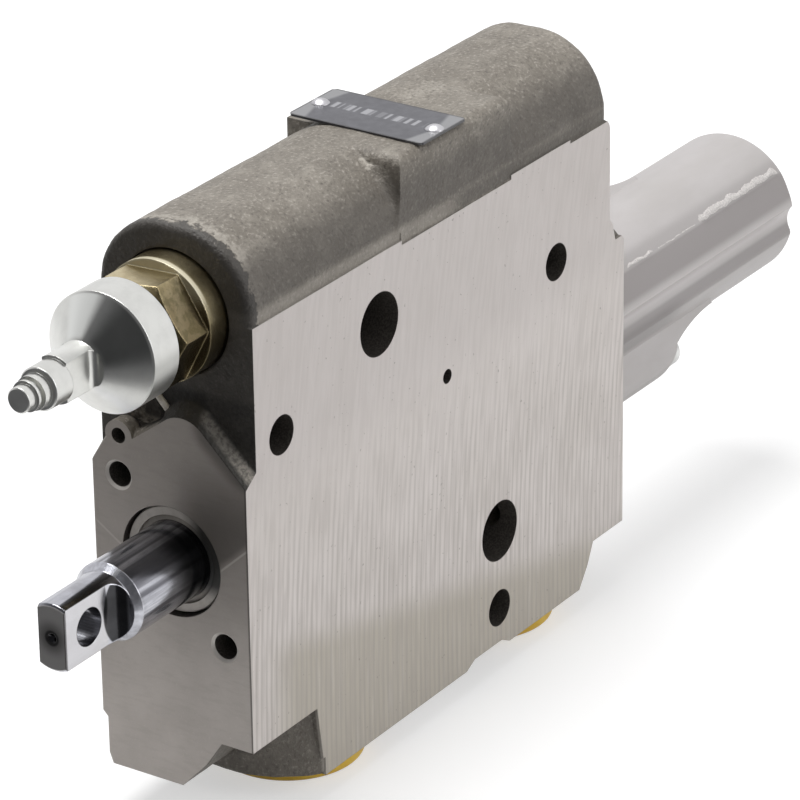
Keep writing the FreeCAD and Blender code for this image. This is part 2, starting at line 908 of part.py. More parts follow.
def main_spool():
    """Hardened spool: eye, neck, three working lands with throttling notches, and a tapped tail."""
    front_waist_x0 = front_tank_x + outer_chamber_width + chamber_overlap
    front_waist_x1 = pressure_chamber_x - chamber_overlap
    rear_waist_x0 = pressure_chamber_x + pressure_chamber_width + chamber_overlap
    rear_waist_x1 = rear_tank_x - chamber_overlap
    shoulder_x = eye_root_x + eye_shoulder_length
    spool = turned(
        0,
        (eye_end_x, 0),
        (eye_end_x, eye_bar_radius - eye_end_chamfer),
        (eye_end_x + eye_end_chamfer, eye_bar_radius),
        (eye_root_x, eye_bar_radius),
        (shoulder_x, spool_radius),
        (front_waist_x0, spool_radius),
        (front_waist_x0 + spool_waist_slope, spool_waist_radius),
        (front_waist_x1 - spool_waist_slope, spool_waist_radius),
        (front_waist_x1, spool_radius),
        (rear_waist_x0, spool_radius),
        (rear_waist_x0 + spool_waist_slope, spool_waist_radius),
        (rear_waist_x1 - spool_waist_slope, spool_waist_radius),
        (rear_waist_x1, spool_radius),
        (spool_rear_x, spool_radius),
        (spool_rear_x, 0),
    )
    cuts = eye_flats() + land_notches(front_waist_x1, rear_waist_x0)
    cuts.append(rod_y(-spool_radius, spool_radius, eye_hole_radius, eye_hole_x, 0))
    cuts.append(Part.makeCone(centre_drill_radius, 0, centre_drill_radius, vec(eye_end_x, 0, 0), vec(1, 0, 0)))
    cuts.append(rod_x(spool_rear_x - bolt_engagement - over, spool_rear_x + over, bolt_radius + seal_gap))
    return spool.cut(cuts)


def eye_flats():
    """Milled flats on both sides of the eye, each ending in a hollow corner at the shoulder."""
    flat_y = eye_thickness / 2
    outside_y = spool_radius + over
    round_x = eye_root_x - eye_root_round
    bulge = eye_root_round * math.sqrt(0.5)
    tools = []
    for side in (-1, 1):
        outline = wire(
            on_level(-spool_radius),
            (eye_end_x - over, side * flat_y),
            (round_x, side * flat_y),
            ((round_x + bulge, side * (flat_y + eye_root_round - bulge)),
             (eye_root_x, side * (flat_y + eye_root_round))),
            (eye_root_x, side * outside_y),
            (eye_end_x - over, side * outside_y),
        )
        tools.append(Part.Face(outline).extrude(vec(0, 0, 2 * spool_radius)))
    return tools


def land_notches(front_edge_x, rear_edge_x):
    """Round throttling notches at both edges of the middle land."""
    tools = []
    for edge_x, reach in ((front_edge_x, notch_reach), (rear_edge_x, -notch_reach)):
        low, high = sorted((edge_x - reach, edge_x + reach))
        for i in range(notch_count):
            angle = 2 * math.pi * i / notch_count
            y = spool_radius * math.cos(angle)
            z = spool_radius * math.sin(angle)
            tools.append(rod_x(low, high, notch_radius, y, z))
    return tools


def bolt_sleeve():
    """Spacer tube that sets the distance between the spool and the bolt head."""
    return tube_x(spool_rear_x, sleeve_end_x, sleeve_radius, sleeve_radius - sleeve_wall)


def bolt_washer():
    return tube_x(sleeve_end_x, sleeve_end_x + bolt_washer_length, bolt_washer_radius, bolt_radius + fit_gap)


def spool_bolt():
    """Socket-head bolt through the sleeve into the spool's tail."""
    head_x = sleeve_end_x + bolt_washer_length
    head_end_x = head_x + bolt_head_height
    shank = rod_x(spool_rear_x - bolt_engagement, head_x, bolt_radius)
    head = rod_x(head_x, head_end_x, bolt_head_radius)
    socket = hexagon_x(head_end_x - screw_socket_depth, head_end_x + over, screw_socket_flats)
    return shank.fuse(head).cut(socket)


def spring_cup(face_x, end_x, end_bore_radius):
    """Pressed cup: a flange that carries the spring at face_x, and a tube closed at end_x."""
    toward_end = 1 if end_x > face_x else -1
    outer = cap_bore_radius - cup_flange_gap
    inner = cup_tube_radius - cup_tube_wall
    return turned(
        0,
        (face_x, inner),
        (face_x, outer),
        (face_x + toward_end * cup_flange, outer),
        (face_x + toward_end * cup_flange, cup_tube_radius),
        (end_x + toward_end * cup_tube_wall, cup_tube_radius),
        (end_x + toward_end * cup_tube_wall, end_bore_radius),
        (end_x, end_bore_radius),
        (end_x, inner),
    )


def front_spring_cup():
    return spring_cup(body_length, front_cup_end_x, sleeve_radius + cup_bore_gap)


def rear_spring_cup():
    return spring_cup(rear_cup_end_x, sleeve_end_x, sleeve_radius + fit_gap)


def centring_spring():
    mean_radius = cup_tube_radius + spring_wire_radius + cup_flange_gap
    return coil_x(body_length + cup_flange, rear_cup_end_x - cup_flange, mean_radius,
                  spring_wire_radius, spring_turns)


def flute_cutter(centre_angle, half_angle):
    """Round bar that leaves one lengthwise flute in the cap's skin."""
    half_chord = cap_radius * math.sin(math.radians(half_angle))
    radius = (half_chord ** 2 + cap_flute_depth ** 2) / (2 * cap_flute_depth)
    edge_distance = cap_radius * math.cos(math.radians(half_angle))
    distance = edge_distance - cap_flute_depth + radius
    y = distance * math.cos(math.radians(centre_angle))
    z = distance * math.sin(math.radians(centre_angle))
    return rod_x(body_length - over, cap_end_x + over, radius, y, z)


def flat_cutter(start_angle, end_angle):
    """Block outside the chord between two angles on the cap's skin."""
    ends = [(cap_radius * math.cos(math.radians(a)), cap_radius * math.sin(math.radians(a)))
            for a in (start_angle, end_angle)]
    outer = [(2 * y, 2 * z) for y, z in reversed(ends)]
    return prism_x(wire(on_end(body_length - over), *(ends + outer)), cap_end_x + over)


def cap_skin_cuts():
    """A flat below each parting line and a flute beside it, mirrored about the line of the screws."""
    flute_middle = 0.5 * (cap_flat_end + cap_flute_end)
    flute_half = 0.5 * (cap_flute_end - cap_flat_end)
    mirror = 2 * (bracket_angle + 180)
    return [
        flat_cutter(cap_flat_start, cap_flat_end),
        flat_cutter(mirror - cap_flat_end, mirror - cap_flat_start),
        flute_cutter(flute_middle, flute_half),
        flute_cutter(mirror - flute_middle, flute_half),
    ]


def across_lobe(y, z):
    """Flat points (along, side) in the end view, along running from the cap's axis through (y, z)."""
    reach = math.hypot(y, z)
    return lambda along, side: ((along * y - side * z) / reach, (along * z + side * y) / reach)


def cap_lobe(y, z):
    """Long screw lobe at the cap's root, with a rounded end that runs out into a flare along the pot."""
    across = across_lobe(y, z)
    reach = math.hypot(y, z)
    crest = reach + foot_lobe_radius
    edge = crest - foot_round_drop
    round_x = foot_end_x - foot_round_length
    flare_x = foot_end_x + flare_gap
    flare_end_x = flare_x + flare_length
    web = prism_x(wire(
        on_end(body_length),
        (0, 0),
        across(foot_root_reach, -foot_root_half_width),
        across(reach, -foot_lobe_radius),
        across(reach, foot_lobe_radius),
        across(foot_root_reach, foot_root_half_width),
    ), flare_end_x)
    blank = web.fuse(rod_x(body_length, flare_end_x, foot_lobe_radius, y, z))
    lengthwise = lambda x, along: vec(x, *across(along, -foot_root_half_width))
    side_view = wire(
        lengthwise,
        (body_length, 0),
        (body_length, crest),
        (round_x, crest),
        (((round_x + flare_x) / 2, crest - foot_round_sag), (flare_x, edge)),
        ((flare_x + flare_bend, edge - flare_sag), (flare_end_x, cap_radius - seal_gap)),
        (flare_end_x, 0),
    )
    return blank.common(Part.Face(side_view).extrude(vec(0, *across(0, 2 * foot_root_half_width))))


def spring_cap():
    """Die-cast cap: long round pot with flats and flutes, a rounded end and two screw lobes at its root."""
    pot = rod_x(body_length, cap_end_x, cap_radius)
    rim = [e for e in pot.Edges if abs(e.CenterOfMass.x - cap_end_x) < 1e-6]
    pot = pot.makeFillet(cap_end_round, rim).cut(cap_skin_cuts())
    cap = pot.fuse([cap_lobe(y, z) for y, z in screw_places()])
    recess_radius = cap_bore_radius + 2 * cap_seal_radius + fit_gap
    cuts = [
        rod_x(body_length - over, cap_step_x, cap_bore_radius),
        rod_x(body_length - over, cap_end_x - cap_end_wall, cap_step_radius),
        rod_x(body_length - over, body_length + 2 * cap_seal_radius, recess_radius),
    ]
    head_way_x = foot_end_x + flare_gap + flare_length
    for y, z in screw_places():
        cuts.append(rod_x(body_length - over, foot_end_x + over, cap_screw_radius + cap_screw_hole_gap, y, z))
        cuts.append(rod_x(foot_end_x, head_way_x, screw_head_radius + screw_head_gap, y, z))
    return cap.cut(cuts)


def cap_seal():
    return squeezed_seal(body_length + cap_seal_radius, cap_bore_radius + cap_seal_radius, cap_seal_radius)


def cap_screws():
    """Two long socket-head screws through the cap's lobes."""
    screws = []
    head_end_x = foot_end_x + screw_head_height
    for y, z in screw_places():
        shank = rod_x(body_length - cap_screw_grip, foot_end_x, cap_screw_radius, y, z)
        head = rod_x(foot_end_x, head_end_x, screw_head_radius, y, z)
        socket = hexagon_x(head_end_x - screw_socket_depth, head_end_x + over, screw_socket_flats, y, z)
        screws.append(shank.fuse(head).cut(socket).removeSplitter())
    return Part.makeCompound(screws)


def spindle_plug():
    """Hexagon plug with a round flange, thread, seal undercut and a stepped bore for the spindle."""
    thread = plug_thread_radius - fit_gap
    blank = turned(
        upper_axis_z,
        (hex_front_x, 0),
        (hex_front_x, hex_across_flats / 2),
        (hex_front_x + hex_chamfer, plug_flange_radius),
        (plug_seat_x, plug_flange_radius),
        (plug_seat_x, plug_undercut_radius),
        (plug_seat_x + plug_undercut_length, plug_undercut_radius),
        (plug_seat_x + plug_undercut_length, thread),
        (plug_shank_end_x, thread),
        (plug_shank_end_x, 0),
    )
    waste = rod_x(hex_front_x - over, plug_flange_front_x, plug_flange_radius + over, 0, upper_axis_z)
    waste = waste.cut(hexagon_x(hex_front_x - 2 * over, plug_flange_front_x + over, hex_across_flats,
                                0, upper_axis_z, hex_turn))
    bore = rod_x(hex_front_x - over, plug_shank_end_x + over, shank_radius + fit_gap, 0, upper_axis_z)
    pocket = rod_x(plug_shoulder_x, plug_shank_end_x + over, plug_pocket_radius, 0, upper_axis_z)
    return blank.cut([waste, bore, pocket])


def plug_seal():
    cord = (plug_thread_radius - plug_undercut_radius) / 2
    return squeezed_seal(plug_seat_x + plug_undercut_length / 2, plug_undercut_radius + cord, cord,
                         upper_axis_z)


def flow_spindle():
    """Turned spindle: grooved tip and stem for the knob, coned head, sealed shank and inner tang."""
    seal_x0 = spindle_seal_x - spindle_seal_cord - spindle_seal_side_gap
    seal_x1 = spindle_seal_x + spindle_seal_cord + spindle_seal_side_gap
    seal_floor = shank_radius - 2 * spindle_seal_cord
    clip_x = plug_shoulder_x + stop_gap
    shank_end_x = clip_x + clip_width + clip_land
    edge = spindle_edge
    spindle = turned(
        upper_axis_z,
        (stem_tip_x, 0),
        (stem_tip_x, stem_tip_radius - edge),
        (stem_tip_x + edge, stem_tip_radius),
        (stem_rim_front_x, stem_tip_radius),
        (stem_rim_front_x, stem_rim_radius),
        (stem_groove_front_x, stem_rim_radius),
        (stem_groove_front_x, stem_groove_radius),
        (stem_ring_front_x, stem_groove_radius),
        (stem_ring_front_x, stem_ring_radius),
        (stem_front_x, stem_ring_radius),
        (stem_front_x, stem_radius - edge),
        (stem_front_x + edge, stem_radius),
        (spindle_flat_front_x, stem_radius),
        (spindle_flat_front_x, spindle_collar_radius),
        (spindle_neck_x, spindle_collar_radius),
        (spindle_head_front_x, spindle_head_radius - edge),
        (spindle_head_front_x + edge, spindle_head_radius),
        (spindle_head_back_x - edge, spindle_head_radius),
        (spindle_head_back_x, spindle_head_radius - edge),
        (spindle_head_back_x, shank_radius),
        (seal_x0, shank_radius),
        (seal_x0, seal_floor),
        (seal_x1, seal_floor),
        (seal_x1, shank_radius),
        (clip_x, shank_radius),
        (clip_x, shank_radius - clip_depth),
        (clip_x + clip_width, shank_radius - clip_depth),
        (clip_x + clip_width, shank_radius),
        (shank_end_x, shank_radius),
        (shank_end_x, tang_radius),
        (drum_front_x + 2 * pin_setback, tang_radius),
        (drum_front_x + 2 * pin_setback, 0),
    )
    cuts = spindle_flats()
    cuts.append(rod_y(-tang_radius - over, tang_radius + over, pin_radius + seal_gap,
                      drum_front_x + pin_setback, upper_axis_z))
    return spindle.cut(cuts)


def spindle_flats():
    """Wrench flats behind the stem, run out into the cone."""
    flat_y = spindle_flat_half_width
    outside_y = spindle_head_radius
    end_x = spindle_neck_x + spindle_flat_runout
    round_x = end_x - spindle_flat_round
    bulge = spindle_flat_round * math.sqrt(0.5)
    tools = []
    for side in (-1, 1):
        outline = wire(
            on_level(upper_axis_z - outside_y),
            (spindle_flat_front_x, side * flat_y),
            (round_x, side * flat_y),
            ((round_x + bulge, side * (flat_y + spindle_flat_round - bulge)),
             (end_x, side * (flat_y + spindle_flat_round))),
            (end_x, side * outside_y),
            (spindle_flat_front_x, side * outside_y),
        )
        tools.append(Part.Face(outline).extrude(vec(0, 0, 2 * outside_y)))
    return tools


def spindle_seal():
    cord = spindle_seal_cord - seal_gap
    return squeezed_seal(spindle_seal_x, shank_radius - 2 * spindle_seal_cord + cord, cord, upper_axis_z)


def spindle_clip():
    """Open retaining ring in the groove behind the plug's shoulder."""
    x0 = plug_shoulder_x + stop_gap
    inner = shank_radius - clip_depth
    ring = tube_x(x0 + seal_gap, x0 + clip_width - seal_gap, shank_radius + clip_rim, inner + seal_gap,
                  0, upper_axis_z)
    gap = Part.makeBox(clip_width, clip_opening, 2 * shank_radius, vec(x0, -clip_opening / 2, upper_axis_z))
    return ring.cut(gap)


def throttle_drum():
    """Hollow drum turned by the spindle; half of its wall is cut away beside the sleeve's windows."""
    drum = rod_x(drum_front_x, drum_end_x, drum_radius, 0, upper_axis_z)
    web_end_x = drum_front_x + 2 * pin_setback + stop_gap
    bore = rod_x(drum_front_x - over, web_end_x, tang_radius + seal_gap, 0, upper_axis_z)
    hollow = rod_x(web_end_x, drum_end_x + over, drum_radius - drum_wall, 0, upper_axis_z)
    window = Part.makeBox(drum_window_length, 2 * drum_radius, drum_radius,
                          vec(drum_window_x, -drum_radius, upper_axis_z - drum_radius))
    pin_hole = rod_y(-drum_radius - over, drum_radius + over, pin_radius + seal_gap,
                     drum_front_x + pin_setback, upper_axis_z)
    return drum.cut([bore, hollow, window, pin_hole])


def drum_pin():
    half_length = drum_radius - stop_gap
    return rod_y(-half_length, half_length, pin_radius, drum_front_x + pin_setback, upper_axis_z)


def metering_sleeve():
    """Fixed sleeve with a window, between the plug and the bore's shoulder; its lip stops the compensator."""
    outer = sleeve_bore_radius - seal_gap
    lip_x = metering_sleeve_end_x - throttle_lip_length
    sleeve = rod_x(plug_shank_end_x, metering_sleeve_end_x, outer, 0, upper_axis_z)
    bore = rod_x(plug_shank_end_x - over, lip_x, drum_radius + drum_gap, 0, upper_axis_z)
    mouth = rod_x(lip_x - over, metering_sleeve_end_x + over, throttle_lip_radius, 0, upper_axis_z)
    middle_x = drum_window_x + drum_window_length / 2
    window = rod_z(upper_axis_z - outer - over, upper_axis_z, throttle_window_width / 2, middle_x)
    return sleeve.cut([bore, mouth, window])


def compensator_spool():
    """Pressure compensator: waisted land, hollow tail for its spring and a threaded damping way in front."""
    waist_end_x = compensator_waist_x + compensator_waist_length
    spool = turned(
        upper_axis_z,
        (compensator_front_x, 0),
        (compensator_front_x, compensator_radius),
        (compensator_waist_x, compensator_radius),
        (compensator_waist_x + over, compensator_waist_radius),
        (waist_end_x - over, compensator_waist_radius),
        (waist_end_x, compensator_radius),
        (compensator_end_x, compensator_radius),
        (compensator_end_x, compensator_pocket_radius),
        (compensator_pocket_x, compensator_pocket_radius),
        (compensator_pocket_x, 0),
    )
    thread = rod_x(compensator_front_x - over, compensator_front_x + orifice_length,
                   orifice_radius + seal_gap, 0, upper_axis_z)
    way = rod_x(compensator_front_x, compensator_pocket_x + over, orifice_way_radius, 0, upper_axis_z)
    cuts = [thread, way]
    middle_x = (waist_end_x + compensator_end_x) / 2
    for x in (middle_x - 3 * compensator_groove_width, middle_x, middle_x + 3 * compensator_groove_width):
        cuts.append(tube_x(x, x + compensator_groove_width, compensator_radius + over,
                           compensator_radius - compensator_groove_depth, 0, upper_axis_z))
    return spool.cut(cuts)


def compensator_orifice():
    """Small screw with a drilled orifice, flush in the compensator's front face."""
    end_x = compensator_front_x + orifice_length
    screw = rod_x(compensator_front_x, end_x, orifice_radius, 0, upper_axis_z)
    bore = rod_x(compensator_front_x - over, end_x + over, orifice_bore_radius, 0, upper_axis_z)
    slot = Part.makeBox(over, 2 * orifice_radius, orifice_slot_width,
                        vec(compensator_front_x, -orifice_radius, upper_axis_z - orifice_slot_width / 2))
    return screw.cut([bore, slot])


def compensator_spring():
    mean_radius = compensator_pocket_radius - compensator_coil_gap - compensator_wire_radius
    return coil_x(compensator_pocket_x, guide_front_x, mean_radius, compensator_wire_radius,
                  compensator_turns, upper_axis_z)


def spring_guide():
    """Seat for the compensator spring: plain body on the bore's end, with a pilot inside the coil."""
    outer = compensator_bore_radius - fit_gap
    pilot_x0 = guide_front_x - guide_pilot_length
    return turned(
        upper_axis_z,
        (pilot_x0, 0),
        (pilot_x0, guide_pilot_radius - guide_pilot_chamfer),
        (pilot_x0 + guide_pilot_chamfer, guide_pilot_radius),
        (guide_front_x, guide_pilot_radius),
        (guide_front_x, outer),
        (upper_bore_end_x, outer),
        (upper_bore_end_x, 0),
    )


def shuttle_seat():
    """Drilled seat pressed in over the shuttle ball."""
    y0 = half_thickness - shuttle_seat_length
    plain = rod_y(y0, half_thickness, shuttle_seat_radius - seal_gap, pilot_x, pilot_z)
    bore = rod_y(y0 - over, half_thickness + over, shuttle_seat_bore, pilot_x, pilot_z)
    return plain.cut(bore)


def shuttle_ball():
    return Part.makeSphere(shuttle_ball_radius, vec(pilot_x, shuttle_inner_y + shuttle_ball_radius, pilot_z))


def gallery_seals():
    """Two rings of rubber cord in the grooves round the oil galleries."""
    radius = gallery_radius + seal_groove_width - seal_cord_radius
    y = half_thickness - seal_groove_depth + seal_cord_radius
    rings = [free_seal(vec(x, y, z), vec(0, 1, 0), radius, seal_cord_radius)
             for x, z in ((pressure_x, pressure_z), (tank_x, tank_z))]
    return Part.makeCompound(rings)


def pilot_seal():
    radius = shuttle_seat_radius + pilot_groove_wall + pilot_groove_width / 2
    y = half_thickness - pilot_groove_depth + pilot_cord_radius
    return free_seal(vec(pilot_x, y, pilot_z), vec(0, 1, 0), radius, pilot_cord_radius)


def pieces():
    """Node name and shape of every separate piece."""
    return {
        "valve_body": valve_body(),
        "nameplate": nameplate(),
        "nameplate_rivets": nameplate_rivets(),
        "seal_retainer": seal_retainer(),
        "wiper_seal": wiper_seal(),
        "front_spool_seal": front_spool_seal(),
        "rear_spool_seal": rear_spool_seal(),
        "rear_seal_washer": rear_seal_washer(),
        "main_spool": main_spool(),
        "bolt_sleeve": bolt_sleeve(),
        "bolt_washer": bolt_washer(),
        "spool_bolt": spool_bolt(),
        "front_spring_cup": front_spring_cup(),
        "rear_spring_cup": rear_spring_cup(),
        "centring_spring": centring_spring(),
        "spring_cap": spring_cap(),
        "cap_seal": cap_seal(),
        "cap_screws": cap_screws(),
        "spindle_plug": spindle_plug(),
        "plug_seal": plug_seal(),
        "flow_spindle": flow_spindle(),
        "spindle_seal": spindle_seal(),
        "spindle_clip": spindle_clip(),
        "throttle_drum": throttle_drum(),
        "drum_pin": drum_pin(),
        "metering_sleeve": metering_sleeve(),
        "compensator_spool": compensator_spool(),
        "compensator_orifice": compensator_orifice(),
        "compensator_spring": compensator_spring(),
        "spring_guide": spring_guide(),
        "shuttle_seat": shuttle_seat(),
        "shuttle_ball": shuttle_ball(),
        "gallery_seals": gallery_seals(),
        "pilot_seal": pilot_seal(),
        "port_plug_front": port_plug(front_port_x),
        "port_plug_rear": port_plug(rear_port_x),
    }


os.makedirs("parts", exist_ok=True)
for name, shape in pieces().items():
    clean = solid_of(shape)
    print(name, len(clean.Solids), round(clean.Volume, 1), clean.isValid())
    clean.exportStep("parts/" + name + ".step")
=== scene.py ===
import math
import random

import bmesh
import bpy
from mathutils import Matrix, Vector, noise


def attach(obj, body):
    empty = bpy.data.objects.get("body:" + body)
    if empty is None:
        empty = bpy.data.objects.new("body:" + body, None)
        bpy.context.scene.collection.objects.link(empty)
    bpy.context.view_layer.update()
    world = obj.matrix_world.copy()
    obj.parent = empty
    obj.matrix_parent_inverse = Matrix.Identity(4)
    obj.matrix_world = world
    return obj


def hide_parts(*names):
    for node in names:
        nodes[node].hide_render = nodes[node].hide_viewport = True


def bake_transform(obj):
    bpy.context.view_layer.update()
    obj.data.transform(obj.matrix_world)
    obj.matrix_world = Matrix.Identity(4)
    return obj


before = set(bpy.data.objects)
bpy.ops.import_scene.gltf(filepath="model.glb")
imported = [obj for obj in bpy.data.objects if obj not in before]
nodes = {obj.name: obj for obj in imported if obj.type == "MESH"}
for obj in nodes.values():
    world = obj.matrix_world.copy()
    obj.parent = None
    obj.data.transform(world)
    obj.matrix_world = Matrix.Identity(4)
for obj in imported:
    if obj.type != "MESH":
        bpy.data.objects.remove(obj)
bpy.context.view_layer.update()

# Valve body
# Grey iron casting: a slab milled on both sides, a long sand-cast barrel above it and cast pads, pockets and feet.
# Its end pad, ports and bores are machined; everything else keeps the rough skin of the mould. The round wall of the
# front port swells into the pocket under the end pad, and a small rib stands in the hollow above that pad.
MM = 0.001


def srgb(red, green, blue):
    """A colour as the eye reads it, 0 to 255, turned into the shader's linear one."""
    linear = [c / 12.92 if c <= 0.04045 else ((c + 0.055) / 1.055) ** 2.4
              for c in (red / 255, green / 255, blue / 255)]
    return (*linear, 1.0)


def put(tree, kind, inputs=None, **settings):
    """Add one shader node; each input is a plain value or another node's output."""
    made = tree.nodes.new("ShaderNode" + kind)
    for key, value in settings.items():
        setattr(made, key, value)
    for key, value in (inputs or {}).items():
        if isinstance(value, bpy.types.NodeSocket):
            tree.links.new(value, made.inputs[key])
        else:
            made.inputs[key].default_value = value
    return made


def start_finish(name, roughness, metallic=0.0):
    """A new material with its shader, and the place on the piece in the frame's own metres."""
    material = bpy.data.materials.new(name)
    material.use_nodes = True
    tree = material.node_tree
    shader = tree.nodes["Principled BSDF"]
    shader.inputs["Roughness"].default_value = roughness
    shader.inputs["Metallic"].default_value = metallic
    place = put(tree, "TexCoord").outputs["Object"]
    return material, tree, shader, place


def grain(tree, place, size_mm, detail=3.0, stretch=(1.0, 1.0, 1.0)):
    """Noise whose spots are about size_mm across, drawn out along an axis where stretch is above 1."""
    squeezed = put(tree, "VectorMath", {0: place, 1: [1.0 / s for s in stretch]}, operation="MULTIPLY")
    spots = put(tree, "TexNoise", {"Vector": squeezed.outputs[0], "Scale": 1.0 / (size_mm * MM),
                                   "Detail": detail, "Roughness": 0.6})
    return spots.outputs["Fac"]


def band(tree, value, low, high):
    """0 below low, 1 above high and smooth between them."""
    ranged = put(tree, "MapRange", {"Value": value, "From Min": low, "From Max": high},
                 interpolation_type="SMOOTHSTEP")
    return ranged.outputs["Result"]


def mixed(tree, amount, first, second):
    """The first colour turned into the second by the amount."""
    made = put(tree, "Mix", {0: amount, 6: first, 7: second}, data_type="RGBA")
    return made.outputs[2]


def sums(tree, operation, first, second):
    """One step of arithmetic."""
    return put(tree, "Math", {0: first, 1: second}, operation=operation).outputs[0]


def rough_up(tree, shader, *layers, edge_mm=0.0):
    """Bump from layers of (height, depth in mm), over edges that are broken by edge_mm."""
    normal = None
    if edge_mm:
        normal = put(tree, "Bevel", {"Radius": edge_mm * MM}, samples=6).outputs["Normal"]
    for height, depth_mm in layers:
        inputs = {"Height": height, "Distance": depth_mm * MM}
        if normal is not None:
            inputs["Normal"] = normal
        normal = put(tree, "Bump", inputs).outputs["Normal"]
    tree.links.new(normal, shader.inputs["Normal"])


def share(tree, mask, part):
    """A mask weakened to a part of its strength."""
    return sums(tree, "MULTIPLY", mask, part)


def stain_and_painted_light(tree, tone, mask, part, colour):
    """The tone with a part of another colour where the mask is: a stain, a mark, or painted light and shade."""
    return mixed(tree, share(tree, mask, part), tone, colour)


def meeting(tree, *masks):
    """Where all the masks meet."""
    whole = masks[0]
    for mask in masks[1:]:
        whole = sums(tree, "MULTIPLY", whole, mask)
    return whole


def axes(tree, place):
    """The three coordinates of the place, each by itself."""
    parts = put(tree, "SeparateXYZ", {0: place}).outputs
    return {"x": parts["X"], "y": parts["Y"], "z": parts["Z"]}


def patch(tree, at, **limits):
    """A box with soft edges: each axis fades in over two distances in mm and, where four are given, out again."""
    masks = []
    for axis, (none, full, *leaving) in limits.items():
        masks.append(band(tree, at[axis], none * MM, full * MM))
        if leaving:
            masks.append(band(tree, at[axis], leaving[1] * MM, leaving[0] * MM))
    return meeting(tree, *masks)


def distance(tree, place, centre_mm, across):
    """How far the place is from a point, or from a line through it along the axis that across leaves out."""
    moved = put(tree, "VectorMath", {0: place, 1: [c * MM for c in centre_mm]}, operation="SUBTRACT").outputs[0]
    flat = put(tree, "VectorMath", {0: moved, 1: across}, operation="MULTIPLY").outputs[0]
    return put(tree, "VectorMath", {0: flat}, operation="LENGTH").outputs["Value"]


# Painted shade and highlights on the cast skin, and one broken edge: where each lies, as patch() takes it, how strong
# it is, and its colour.
CAST_PAINTED_LIGHT_AND_MARKS = (
    # Painted shade along the barrel's shoulder and, under it, on the skirt: a painted highlight in front, painted
    # shade behind.
    (dict(z=(69.0, 72.0, 78.5, 87.0), y=(-10.0, -19.0)), 0.62, srgb(66, 61, 56)),
    (dict(z=(65.5, 66.5, 69.0, 71.0), x=(100.0, 86.0)), 0.35, srgb(164, 158, 150)),
    (dict(z=(65.5, 66.5, 69.0, 71.0), x=(90.0, 102.0)), 0.6, srgb(66, 61, 56)),
    # Painted shade round the barrel's front end, ragged at its rim.
    (dict(ragged=(8.0, 7.0), x=(3.6, 4.4), z=(0.0, 20.0)), 0.85, srgb(44, 41, 38)),
    # Painted shade in the front pocket and in the recess at the rear end.
    (dict(x=(40.0, 30.0), z=(-40.0, -47.0)), 0.35, srgb(66, 62, 58)),
    (dict(x=(170.0, 171.5), y=(-18.0, -21.0), z=(41.0, 39.0)), 0.35, srgb(66, 62, 58)),
    # Painted shade in the cored hollow above the end pad, and on the wall round the plug's mouth.
    (dict(y=(1.6, 2.8, 12.0, 13.5), x=(0.6, 1.4, 10.0, 12.0), z=(33.5, 35.0, 48.0, 50.0)), 0.8, srgb(40, 37, 34)),
    (dict(x=(4.0, 2.0), z=(55.0, 60.0, 80.0, 89.0), y=(-2.0, -18.0)), 0.93, srgb(28, 26, 24)),
    # Painted highlight on the rim of the barrel, and painted shade on the end pad's flank.
    (dict(ragged=(7.8, 8.6, 9.4, 11.8), z=(79.0, 84.0)), 0.35, srgb(190, 184, 174)),
    (dict(y=(4.0, 1.0), x=(9.5, 7.5), z=(23.5, 26.0, 45.0, 48.0)), 0.88, srgb(30, 28, 25)),
    # Broken edge of the pocket on the milled side.
    (dict(y=(-22.4, -23.0), z=(-45.0, -49.0), x=(27.0, 29.0, 35.0, 36.0)), 0.6, srgb(184, 178, 169)),
)
# Where the painted highlight along the crest of the end pad's flank lies.
PAD_CREST = dict(x=(0.8, 2.0, 3.2, 5.0), y=(-8.0, -10.0), z=(23.5, 26.0, 45.0, 48.0))
# Painted highlights on the nameplate pad's front corner, and lighter patches on its top: each one's middle, how far
# it reaches and how strong it is.
PAD_HIGHLIGHTS_AND_PATCHES = (((70.0, -13.6, 86.0), 2.4, 0.7), ((71.2, -16.0, 84.2), 2.0, 0.7), ((109.0, -1.0, 89.0), 4.0, 0.25),
          ((116.0, -3.0, 89.0), 4.5, 0.25))
PAD_SPOT_FADE = 1.5
RAGGED_WANDER = 10.0
PAD_SPOT_WANDER = 12.0


